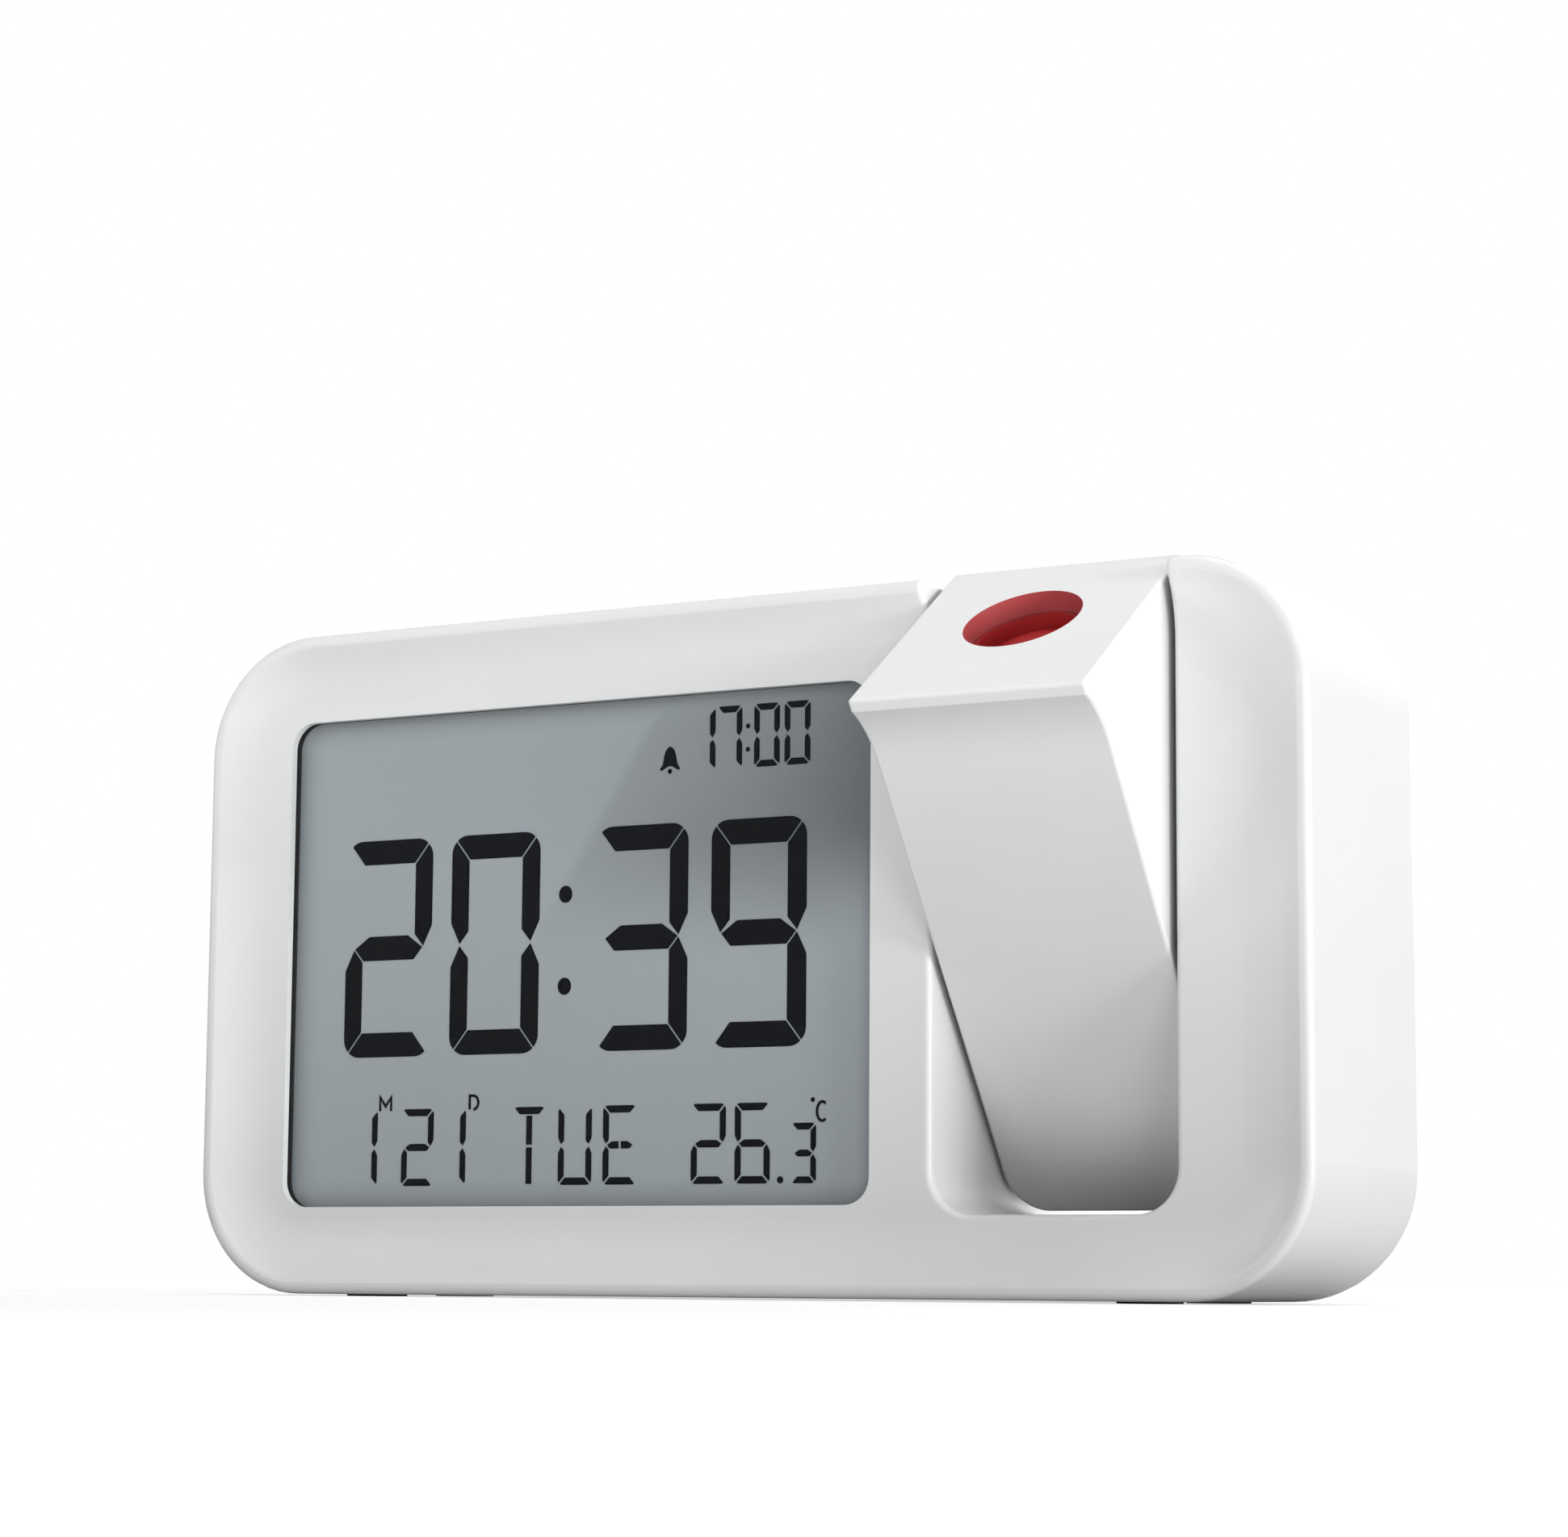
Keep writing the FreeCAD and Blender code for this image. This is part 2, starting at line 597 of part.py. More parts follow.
def display_ear_places():
    """Where the four ears of the display frame are screwed down, as X and Z."""
    across = FRAME_WIDTH / 2 - DISPLAY_EAR_INSET
    up = FRAME_HEIGHT / 2 + DISPLAY_EAR_RADIUS
    return [(WINDOW_X + side * across, WINDOW_Z + level * up) for side in (-1, 1) for level in (-1, 1)]


def main_board_post_places():
    """Where the main board stands on the display frame, as X and Z."""
    across = FRAME_WIDTH / 2 - FRAME_LIP_WIDTH
    up = FRAME_HEIGHT / 2 - FRAME_LIP_WIDTH
    return [(WINDOW_X + side * across, WINDOW_Z + level * up) for side in (-1, 1) for level in (-1, 1)]


def rear_board_post_places():
    """Where the rear board is screwed to the rear housing, as X and Z."""
    return [
        (x, z)
        for x in (REAR_BOARD_LEFT_X + POST_INSET, REAR_BOARD_RIGHT_X - POST_INSET)
        for z in (REAR_BOARD_Z + POST_INSET, REAR_BOARD_Z + REAR_BOARD_HEIGHT - POST_INSET)
    ]


def key_places():
    """The name and X of each key on the back."""
    return [(name, KEY_FIRST_X + index * KEY_PITCH) for index, name in enumerate(KEY_NAMES)]


def foot_places():
    """The centres of the four feet, as X and Y."""
    across = CASE_WIDTH / 2 - FOOT_INSET_X
    deep = CASE_DEPTH / 2 - FOOT_INSET_Y
    return [(side * across, level * deep) for side in (-1, 1) for level in (-1, 1)]


def arm_screw_places():
    """The screws of the arm's rear cover, across and along the arm."""
    across = ARM_INNER_HALF_WIDTH - BOSS_RADIUS - FIT
    low = ARM_COVER_BASE + BOSS_RADIUS + FIT
    high = ARM_COVER_TOP - BOSS_RADIUS - FIT
    return ((-across, low), (across, low), (-across, high))


def snooze_leg_places():
    """The X of the two legs of the snooze bar."""
    return [WINDOW_X + side * SNOOZE_LEG_SPACING / 2 for side in (-1, 1)]


# Pieces of the case

def front_housing():
    """The deep front shell: dished bezel, sides, slot walls, bosses and the display's window."""
    shell = case_form().common(box(LEFT_X, RIGHT_X, FRONT_Y, PART_LINE_Y, 0, TOP_Z))
    shell = shell.cut(case_cavity())
    bosses = [rod_y(BOSS_RADIUS, x, BEZEL_BACK_Y - 0.5, BACK_INNER_Y, z) for x, z in case_screw_places()]
    ear_seat_y = FRAME_BACK_Y - DISPLAY_EAR_THICKNESS
    bosses += [
        rod_y(DISPLAY_EAR_RADIUS, x, BEZEL_BACK_Y - 0.5, ear_seat_y, z) for x, z in display_ear_places()
    ]
    shell = joined([shell] + bosses)
    cuts = [
        rounded_plate(
            WINDOW_X,
            WINDOW_Z,
            WINDOW_WIDTH,
            WINDOW_HEIGHT,
            WINDOW_CORNER_RADIUS,
            FRONT_Y - BEYOND,
            BEZEL_BACK_Y + 1
        ),
        rounded_plate(
            WINDOW_X,
            WINDOW_Z,
            WINDOW_WIDTH + 2 * (WINDOW_OVERLAP + FIT),
            WINDOW_HEIGHT + 2 * (WINDOW_OVERLAP + FIT),
            WINDOW_CORNER_RADIUS + WINDOW_OVERLAP,
            WINDOW_FRONT_Y,
            BEZEL_BACK_Y + 0.5,
        ),
        rounded_block(
            WINDOW_X - SNOOZE_LENGTH / 2,
            WINDOW_X + SNOOZE_LENGTH / 2,
            SNOOZE_OFFSET - SNOOZE_WIDTH / 2,
            SNOOZE_OFFSET + SNOOZE_WIDTH / 2,
            TOP_Z - 2 * CASE_WALL,
            TOP_Z + BEYOND,
            SNOOZE_WIDTH / 2 - 0.01,
        ),
    ]
    cuts += [
        rod_y(SCREW_RADIUS + SCREW_CLEARANCE, x, BACK_INNER_Y - SCREW_LENGTH, BACK_INNER_Y + 1, z)
        for x, z in case_screw_places()
    ]
    cuts += [
        rod_y(SMALL_SCREW_RADIUS + SCREW_CLEARANCE, x, ear_seat_y - SHORT_SCREW_LENGTH, ear_seat_y + 1, z)
        for x, z in display_ear_places()
    ]
    cuts += [rod_z(FOOT_RADIUS + FOOT_GAP, x, y, 0, FOOT_THICKNESS) for x, y in foot_places()]
    seat = BUSH_RADIUS + RUNNING_FIT
    for x0, x1 in slot_walls():
        cuts.append(rod_x(seat, x0 - 0.1, x1 + 0.1, PIVOT.y, PIVOT.z))
        cuts.append(box(x0 - 0.1, x1 + 0.1, PIVOT.y, BACK_Y, PIVOT.z - seat, PIVOT.z + seat))
    return shell.cut(cuts)


def battery_bay_block(grown):
    """The battery bay's room, or its outside when grown by the wall."""
    return box(
        BAY_LEFT_X - grown,
        BAY_RIGHT_X + grown,
        BAY_FLOOR_Y - grown,
        BACK_Y + 1 - grown,
        BAY_LOW_Z - grown,
        BAY_HIGH_Z + grown,
    )


def battery_cover_plate(gap, y0):
    """The cover's outline, drawn in by a gap, from a depth to the back of the case."""
    border = BATTERY_COVER_BORDER - gap
    return rounded_plate(
        (BAY_LEFT_X + BAY_RIGHT_X) / 2,
        (BAY_LOW_Z + BAY_HIGH_Z) / 2,
        BAY_LENGTH + 2 * border,
        BAY_HEIGHT + 2 * border,
        BATTERY_COVER_BORDER,
        y0,
        BACK_Y,
    )


def rear_housing():
    """The back cover: rim, battery bay, board posts, key openings and the tongues that shut the pivots."""
    shell = case_form().common(box(LEFT_X, RIGHT_X, PART_LINE_Y, BACK_Y, 0, TOP_Z)).cut(case_cavity())
    added = [battery_bay_block(BAY_WALL).common(box(LEFT_X, RIGHT_X, FRONT_Y, BACK_INNER_Y + 0.5, 0, TOP_Z))]
    added += [
        rod_y(POST_RADIUS, x, REAR_BOARD_BACK_Y, BACK_INNER_Y + 0.5, z) for x, z in rear_board_post_places()
    ]
    for x0, x1 in slot_walls():
        added.append(
            box(x0, x1, PIVOT.y, PART_LINE_Y + 1, PIVOT.z - BUSH_RADIUS + FIT, PIVOT.z + BUSH_RADIUS - FIT)
        )
    shell = joined([shell] + added)
    cuts = [battery_bay_block(0), battery_cover_plate(0, BATTERY_COVER_Y - RUNNING_FIT)]
    for x, z in case_screw_places():
        cuts.append(rod_y(SCREW_RADIUS + FIT, x, BACK_INNER_Y - 1, BACK_Y + 1, z))
        cuts.append(rod_y(SCREW_HEAD_RADIUS + FIT, x, BACK_Y - SCREW_HEAD_HEIGHT - FIT, BACK_Y + 1, z))
    for x, z in rear_board_post_places():
        hole_end = REAR_BOARD_BACK_Y + SHORT_SCREW_LENGTH - BOARD_THICKNESS + SCREW_CLEARANCE
        cuts.append(rod_y(SMALL_SCREW_RADIUS + SCREW_CLEARANCE, x, REAR_BOARD_BACK_Y - 1, hole_end, z))
    for x0, x1 in slot_walls():
        cuts.append(rod_x(BUSH_RADIUS + RUNNING_FIT, x0 - 0.1, x1 + 0.1, PIVOT.y, PIVOT.z))
    for _, x in key_places():
        cuts.append(key_outline(x, KEY_GAP, BACK_INNER_Y - 1, BACK_Y + 1))
    cuts += rear_openings()
    return shell.cut(cuts)


def key_outline(x, grown, y0, y1):
    """The rounded outline of a key on the back."""
    width, height = KEY_WIDTH + 2 * grown, KEY_HEIGHT + 2 * grown
    return rounded_plate(x, KEY_Z, width, height, KEY_CORNER_RADIUS + grown, y0, y1)


def rear_openings():
    """The grille, the vents, the power inlet and the slider's slot in the back."""
    y0, y1 = BACK_INNER_Y - 1, BACK_Y + 1
    buzzer_x = REAR_BOARD_LEFT_X + BUZZER_INSET
    openings = [rod_y(GRILLE_HOLE_RADIUS, buzzer_x, y0, y1, LOW_ROW_Z)]
    for index in range(6):
        angle = math.radians(60 * index)
        x = buzzer_x + BUZZER_RADIUS / 2 * math.cos(angle)
        openings.append(rod_y(GRILLE_HOLE_RADIUS, x, y0, y1, LOW_ROW_Z + BUZZER_RADIUS / 2 * math.sin(angle)))
    sensor_x = REAR_BOARD_LEFT_X + SENSOR_INSET
    for level in (-1, 0, 1):
        z = LOW_ROW_Z + 2 * level * VENT_WIDTH
        openings.append(rounded_plate(sensor_x, z, VENT_LENGTH, VENT_WIDTH, VENT_WIDTH / 2 - 0.01, y0, y1))
    openings.append(
        rounded_plate(
            SOCKET_X,
            LOW_ROW_Z,
            SOCKET_WIDTH + 2 * SOCKET_WALL + 2 * FIT,
            SOCKET_HEIGHT + 2 * SOCKET_WALL + 2 * FIT,
            1.0,
            y0,
            y1,
        )
    )
    slot_length = SLIDER_LENGTH + 2 * SLIDER_TRAVEL + 2 * KEY_GAP
    slot_height = SLIDER_HEIGHT + 2 * KEY_GAP
    openings.append(rounded_plate(SLIDER_X, KEY_Z, slot_length, slot_height, 0.6, y0, y1))
    return openings


def display_window():
    """The clear window that sits in the bezel's rebate."""
    return rounded_plate(
        WINDOW_X,
        WINDOW_Z,
        WINDOW_WIDTH + 2 * WINDOW_OVERLAP,
        WINDOW_HEIGHT + 2 * WINDOW_OVERLAP,
        WINDOW_CORNER_RADIUS + WINDOW_OVERLAP - FIT,
        WINDOW_FRONT_Y,
        WINDOW_BACK_Y,
    )


def window_tape():
    """The thin adhesive frame between the window and the display glass."""
    ring = rounded_plate(
        WINDOW_X,
        WINDOW_Z,
        WINDOW_WIDTH + 2 * WINDOW_OVERLAP,
        WINDOW_HEIGHT + 2 * WINDOW_OVERLAP,
        WINDOW_CORNER_RADIUS + WINDOW_OVERLAP - FIT,
        WINDOW_BACK_Y,
        LCD_FRONT_Y,
    )
    middle = rounded_plate(
        WINDOW_X,
        WINDOW_Z,
        WINDOW_WIDTH + 2 * FIT,
        WINDOW_HEIGHT + 2 * FIT,
        WINDOW_CORNER_RADIUS + FIT,
        WINDOW_BACK_Y - 1,
        LCD_FRONT_Y + 1,
    )
    return ring.cut(middle)


def centred_on_window(width, height, y0, y1):
    """A square-cornered plate centred on the window."""
    return box(
        WINDOW_X - width / 2, WINDOW_X + width / 2, y0, y1, WINDOW_Z - height / 2, WINDOW_Z + height / 2
    )


def lcd_panel():
    """The glass sandwich that shows the time."""
    return centred_on_window(LCD_WIDTH, LCD_HEIGHT, LCD_FRONT_Y, LCD_BACK_Y)


def light_guide():
    """The clear plate that spreads the backlight."""
    return centred_on_window(LIGHT_GUIDE_WIDTH, LIGHT_GUIDE_HEIGHT, LCD_BACK_Y, LIGHT_GUIDE_BACK_Y)


def reflector_sheet():
    """The white sheet behind the light guide."""
    return centred_on_window(LIGHT_GUIDE_WIDTH, LIGHT_GUIDE_HEIGHT, LIGHT_GUIDE_BACK_Y, REFLECTOR_BACK_Y)


def backlight_places():
    """The Z of each backlight lamp, spread over the left edge of the light guide."""
    step = LIGHT_GUIDE_HEIGHT / BACKLIGHT_COUNT
    return [WINDOW_Z + (index - (BACKLIGHT_COUNT - 1) / 2) * step for index in range(BACKLIGHT_COUNT)]


def backlight_leds():
    """The small lamps that shine into the left edge of the light guide."""
    right = WINDOW_X - LIGHT_GUIDE_WIDTH / 2 - FIT
    return [
        box(
            right - BACKLIGHT_DEPTH,
            right,
            LCD_BACK_Y + FIT,
            LIGHT_GUIDE_BACK_Y - FIT,
            z - BACKLIGHT_SIZE / 2,
            z + BACKLIGHT_SIZE / 2,
        )
        for z in backlight_places()
    ]


def zebra_room(grown):
    """The two upright channels above and below the light guide, for the elastomer strips."""
    channels = []
    for level in (-1, 1):
        middle = WINDOW_Z + level * (LIGHT_GUIDE_HEIGHT + LCD_HEIGHT) / 4
        channels.append(
            box(
                WINDOW_X - ZEBRA_LENGTH / 2 - grown,
                WINDOW_X + ZEBRA_LENGTH / 2 + grown,
                LCD_BACK_Y,
                MAIN_BOARD_FRONT_Y,
                middle - ZEBRA_WIDTH / 2 - grown,
                middle + ZEBRA_WIDTH / 2 + grown,
            )
        )
    return channels


def zebra_strips():
    """The elastomer strips that join the display glass to the main board."""
    return zebra_room(0)


def lcd_frame():
    """The frame that holds the display glass and the light guide, with ears and board posts."""
    frame = centred_on_window(FRAME_WIDTH, FRAME_HEIGHT, BEZEL_BACK_Y, FRAME_BACK_Y)
    added = []
    for x, z in display_ear_places():
        inward = WINDOW_Z + (FRAME_HEIGHT / 2 - 1) * (1 if z > WINDOW_Z else -1)
        low, high = min(z, inward), max(z, inward)
        ear_y = FRAME_BACK_Y - DISPLAY_EAR_THICKNESS
        added.append(rod_y(DISPLAY_EAR_RADIUS, x, ear_y, FRAME_BACK_Y, z))
        added.append(box(x - DISPLAY_EAR_RADIUS, x + DISPLAY_EAR_RADIUS, ear_y, FRAME_BACK_Y, low, high))
    added += [
        rod_y(FRAME_LIP_WIDTH - 0.5, x, FRAME_BACK_Y - 0.5, MAIN_BOARD_FRONT_Y, z) for x,
        z in main_board_post_places()
    ]
    frame = joined([frame] + added)
    cuts = [
        centred_on_window(LCD_WIDTH + 2 * FIT, LCD_HEIGHT + 2 * FIT, BEZEL_BACK_Y - 1, LCD_BACK_Y),
        centred_on_window(
            LIGHT_GUIDE_WIDTH + 2 * FIT, LIGHT_GUIDE_HEIGHT + 2 * FIT, LCD_BACK_Y - 1, REFLECTOR_BACK_Y
        ),
        centred_on_window(
            LIGHT_GUIDE_WIDTH - 2 * FRAME_LIP_WIDTH,
            LIGHT_GUIDE_HEIGHT - 2 * FRAME_LIP_WIDTH,
            LCD_BACK_Y,
            FRAME_BACK_Y + 1,
        ),
    ]
    cuts += zebra_room(FIT)
    lamp_left = WINDOW_X - LIGHT_GUIDE_WIDTH / 2 - BACKLIGHT_DEPTH - FIT
    for z in backlight_places():
        half = BACKLIGHT_SIZE / 2 + FIT
        cuts.append(box(lamp_left, WINDOW_X, LCD_BACK_Y - 0.1, LIGHT_GUIDE_BACK_Y, z - half, z + half))
    for x, z in display_ear_places():
        cuts.append(rod_y(SMALL_SCREW_RADIUS + FIT, x, BEZEL_BACK_Y, FRAME_BACK_Y + 1, z))
    post_hole = SMALL_SCREW_RADIUS + SCREW_CLEARANCE
    post_hole_y = MAIN_BOARD_BACK_Y - SHORT_SCREW_LENGTH
    for x, z in main_board_post_places():
        cuts.append(rod_y(post_hole, x, post_hole_y, MAIN_BOARD_FRONT_Y + 1, z))
    return frame.cut(cuts)


def display_screws():
    """The four screws through the ears of the display frame."""
    return [small_screw(x, FRAME_BACK_Y, z, Vector(0, -1, 0)) for x, z in display_ear_places()]


def small_screw(x, y, z, towards):
    """A short screw of the boards and the display."""
    return screw(
        x,
        y,
        z,
        SMALL_SCREW_RADIUS,
        SHORT_SCREW_LENGTH,
        SMALL_SCREW_HEAD_RADIUS,
        SMALL_SCREW_HEAD_HEIGHT,
        towards,
    )


def main_board():
    """The display board, notched round the left pivot."""
    board = box(
        MAIN_BOARD_LEFT_X,
        MAIN_BOARD_RIGHT_X,
        MAIN_BOARD_FRONT_Y,
        MAIN_BOARD_BACK_Y,
        MAIN_BOARD_LOW_Z,
        MAIN_BOARD_HIGH_Z,
    )
    notch = CLIP_RADIUS + 1.5
    cuts = [
        box(
            TRUNNION_LEFT_END_X - 4.0,
            RIGHT_X,
            MAIN_BOARD_FRONT_Y - 1,
            MAIN_BOARD_BACK_Y + 1,
            PIVOT.z - notch,
            PIVOT.z + notch,
        )
    ]
    for x, z in main_board_post_places():
        cuts.append(rod_y(SMALL_SCREW_RADIUS + FIT, x, MAIN_BOARD_FRONT_Y - 1, MAIN_BOARD_BACK_Y + 1, z))
    return board.cut(cuts)


def main_board_screws():
    """The four screws that hold the main board to the display frame."""
    return [small_screw(x, MAIN_BOARD_BACK_Y, z, Vector(0, -1, 0)) for x, z in main_board_post_places()]


def on_main_board(x, z, width, height, thickness):
    """A flat component on the back of the main board."""
    return box(
        x - width / 2,
        x + width / 2,
        MAIN_BOARD_BACK_Y,
        MAIN_BOARD_BACK_Y + thickness,
        z - height / 2,
        z + height / 2,
    )


def controller_chip():
    """The clock's processor, with its rows of leads."""
    x, z = WINDOW_X - CHIP_OFFSET, WINDOW_Z - CHIP_DROP
    body = on_main_board(x, z, CHIP_SIZE, CHIP_SIZE, CHIP_THICKNESS)
    out = CHIP_SIZE / 2 + CHIP_LEAD_LENGTH / 2 - 0.1
    long, wide, thick = CHIP_LEAD_LENGTH, CHIP_LEAD_WIDTH, CHIP_LEAD_THICKNESS
    leads = []
    for index in range(CHIP_LEADS):
        along = (index - (CHIP_LEADS - 1) / 2) * CHIP_LEAD_PITCH
        for side in (-1, 1):
            leads.append(on_main_board(x + side * out, z + along, long, wide, thick))
            leads.append(on_main_board(x + along, z + side * out, wide, long, thick))
    return joined([body] + leads)


def quartz_crystal():
    """The small can that keeps the time, lying on the main board."""
    x0 = WINDOW_X + CRYSTAL_OFFSET
    return rod_x(
        CRYSTAL_RADIUS, x0, x0 + CRYSTAL_LENGTH, MAIN_BOARD_BACK_Y + CRYSTAL_RADIUS, WINDOW_Z - CHIP_DROP
    )


def board_parts():
    """Resistors and capacitors on the main board."""
    parts = []
    for column in range(PART_COLUMNS):
        for row in range(PART_ROWS):
            x = MAIN_BOARD_LEFT_X + PART_INSET + column * PART_COLUMN_PITCH
            z = WINDOW_Z + PART_RISE + row * PART_ROW_PITCH
            parts.append(on_main_board(x, z, PART_WIDTH, PART_HEIGHT, PART_THICKNESS))
    return parts


def board_header():
    """The pin strip that joins the two boards."""
    z = LOW_ROW_Z
    length = HEADER_PINS * HEADER_PITCH
    x0 = REAR_BOARD_LEFT_X + SENSOR_INSET - length / 2
    y0, half = MAIN_BOARD_BACK_Y, HEADER_HEIGHT / 2
    block = box(x0, x0 + length, y0, y0 + HEADER_HEIGHT, z - half, z + half)
    pins = []
    thin = HEADER_PIN_WIDTH / 2
    for index in range(HEADER_PINS):
        x = x0 + (index + 0.5) * HEADER_PITCH
        pins.append(box(x - thin, x + thin, y0 + 1, REAR_BOARD_FRONT_Y, z - thin, z + thin))
    return joined([block] + pins)


def snooze_switches():
    """The two switches under the legs of the snooze bar, on the main board."""
    switches = []
    y0 = MAIN_BOARD_BACK_Y
    top = MAIN_BOARD_HIGH_Z - SWITCH_PLUNGER
    for x in snooze_leg_places():
        body = box(
            x - SWITCH_BODY / 2, x + SWITCH_BODY / 2, y0, y0 + SWITCH_HEIGHT, top - SWITCH_BODY * 0.6, top
        )
        plunger_high = SNOOZE_SWITCH_HIGH_Z - SNOOZE_TRAVEL - 0.25
        plunger = rod_z(SWITCH_HEIGHT / 3, x, y0 + SWITCH_HEIGHT / 2, top - 1, plunger_high)
        switches.append(joined([body, plunger]))
    return switches


def snooze_bar():
    """The bar on top of the case, with a flange that keeps it in and two legs that press the switches."""
    half_length = SNOOZE_LENGTH / 2 - KEY_GAP
    half_width = SNOOZE_WIDTH / 2 - KEY_GAP
    cap = rounded_block(
        WINDOW_X - half_length,
        WINDOW_X + half_length,
        SNOOZE_OFFSET - half_width,
        SNOOZE_OFFSET + half_width,
        SNOOZE_FLANGE_Z,
        TOP_Z + SNOOZE_PROUD,
        half_width - 0.01,
    )
    rim = [edge for edge in cap.Edges if all(v.Point.z > TOP_Z + SNOOZE_PROUD - 1e-6 for v in edge.Vertexes)]
    cap = cap.makeFillet(SNOOZE_PROUD * 0.6, rim)
    flange = box(
        WINDOW_X - SNOOZE_LENGTH / 2 - SNOOZE_FLANGE,
        WINDOW_X + SNOOZE_LENGTH / 2 + SNOOZE_FLANGE,
        SNOOZE_OFFSET - SNOOZE_WIDTH / 2 - SNOOZE_FLANGE,
        SNOOZE_OFFSET + SNOOZE_WIDTH / 2 + SNOOZE_FLANGE,
        SNOOZE_FLANGE_Z,
        SNOOZE_UNDERSIDE_Z,
    )
    y = MAIN_BOARD_BACK_Y + SWITCH_HEIGHT / 2
    legs = [
        box(x - 2, x + 2, y - 1, y + 1, SNOOZE_SWITCH_HIGH_Z, SNOOZE_FLANGE_Z + 0.5)
        for x in snooze_leg_places()
    ]
    return joined([cap, flange] + legs)


def rear_board():
    """The board behind the keys, on posts of the rear housing."""
    board = box(
        REAR_BOARD_LEFT_X,
        REAR_BOARD_RIGHT_X,
        REAR_BOARD_FRONT_Y,
        REAR_BOARD_BACK_Y,
        REAR_BOARD_Z,
        REAR_BOARD_Z + REAR_BOARD_HEIGHT,
    )
    holes = [
        rod_y(SMALL_SCREW_RADIUS + FIT, x, REAR_BOARD_FRONT_Y - 1, REAR_BOARD_BACK_Y + 1, z)
        for x, z in rear_board_post_places()
    ]
    return board.cut(holes)


def rear_board_screws():
    """The four screws that hold the rear board to its posts."""
    return [small_screw(x, REAR_BOARD_FRONT_Y, z, Vector(0, 1, 0)) for x, z in rear_board_post_places()]


def key_switches():
    """One push switch on the rear board behind each key."""
    switches = []
    for _, x in key_places():
        half = SWITCH_BODY / 2
        y1 = REAR_BOARD_BACK_Y + SWITCH_HEIGHT
        body = box(x - half, x + half, REAR_BOARD_BACK_Y, y1, KEY_Z - half, KEY_Z + half)
        plunger = rod_y(SWITCH_PLUNGER_RADIUS, x, y1 - 0.5, y1 + SWITCH_PLUNGER, KEY_Z)
        switches.append(joined([body, plunger]))
    return switches


def key(x):
    """A key on the back: a cap through the housing, a flange inside it and a short leg."""
    flange_back = BACK_INNER_Y - KEY_GAP
    cap = key_outline(x, 0, flange_back - KEY_FLANGE_THICKNESS, BACK_Y + KEY_PROUD)
    rim = [edge for edge in cap.Edges if all(v.Point.y > BACK_Y + KEY_PROUD - 1e-6 for v in edge.Vertexes)]
    cap = cap.makeFillet(KEY_PROUD * 0.5, rim)
    flange = key_outline(x, KEY_GAP + KEY_FLANGE, flange_back - KEY_FLANGE_THICKNESS, flange_back)
    leg_end = REAR_BOARD_BACK_Y + SWITCH_HEIGHT + SWITCH_PLUNGER + KEY_TRAVEL + 0.25
    leg = rod_y(SWITCH_PLUNGER_RADIUS, x, leg_end, flange_back, KEY_Z)
    return joined([cap, flange, leg])


def slide_switch():
    """The small slide switch on the rear board, with a channel for the knob's stem."""
    x = SLIDER_X
    y1 = REAR_BOARD_BACK_Y + SWITCH_HEIGHT
    half = SLIDER_LENGTH / 2 + SLIDER_TRAVEL + 0.8
    body = box(x - half, x + half, REAR_BOARD_BACK_Y, y1, KEY_Z - 1.9, KEY_Z + 1.9)
    channel = box(
        x - 0.75 - SLIDER_TRAVEL - KEY_GAP,
        x + 0.75 + SLIDER_TRAVEL + KEY_GAP,
        y1 - 1.5,
        y1 + 1,
        KEY_Z - 1.1,
        KEY_Z + 1.1
    )
    return body.cut(channel)


def switch_knob():
    """The knob that slides in the back, with a stem that reaches into the switch."""
    x = SLIDER_X
    flange_back = BACK_INNER_Y - KEY_GAP
    half = SLIDER_LENGTH / 2
    high = SLIDER_HEIGHT / 2
    cap = box(x - half, x + half, flange_back - 0.5, BACK_Y - 0.2, KEY_Z - high, KEY_Z + high)
    grips = [
        box(x + place - 0.25, x + place + 0.25, BACK_Y - 0.7, BACK_Y, KEY_Z - high, KEY_Z + high)
        for place in (-1.5, -0.5, 0.5, 1.5)
    ]
    flange = box(
        x - half - SLIDER_TRAVEL - 0.9,
        x + half + SLIDER_TRAVEL + 0.9,
        flange_back - KEY_FLANGE_THICKNESS,
        flange_back,
        KEY_Z - high - 0.9,
        KEY_Z + high + 0.9,
    )
    stem_end = REAR_BOARD_BACK_Y + SWITCH_HEIGHT - 1.2
    stem = box(x - 0.75, x + 0.75, stem_end, flange_back, KEY_Z - 0.75, KEY_Z + 0.75)
    return joined([cap.cut(grips), flange, stem])


def power_socket():
    """The inlet for the power lead: a metal mouth with a tongue."""
    x = SOCKET_X
    y1 = BACK_Y - SOCKET_MOUTH_DEPTH
    outside = rounded_plate(
        x,
        LOW_ROW_Z,
        SOCKET_WIDTH + 2 * SOCKET_WALL,
        SOCKET_HEIGHT + 2 * SOCKET_WALL,
        0.9,
        REAR_BOARD_BACK_Y,
        y1
    )
    mouth = rounded_plate(x, LOW_ROW_Z, SOCKET_WIDTH, SOCKET_HEIGHT, 0.6, REAR_BOARD_BACK_Y + 1, y1 + 1)
    tongue = box(
        x - SOCKET_WIDTH / 3,
        x + SOCKET_WIDTH / 3,
        REAR_BOARD_BACK_Y,
        y1 - 0.8,
        LOW_ROW_Z - 0.1,
        LOW_ROW_Z + 0.6
    )
    return joined([outside.cut(mouth), tongue])


def buzzer():
    """The round sounder behind the grille."""
    x = REAR_BOARD_LEFT_X + BUZZER_INSET
    case = rod_y(BUZZER_RADIUS, x, REAR_BOARD_BACK_Y, BACK_INNER_Y - FIT, LOW_ROW_Z)
    return case.cut(rod_y(1.0, x, BACK_INNER_Y - 1.2, BACK_INNER_Y, LOW_ROW_Z))


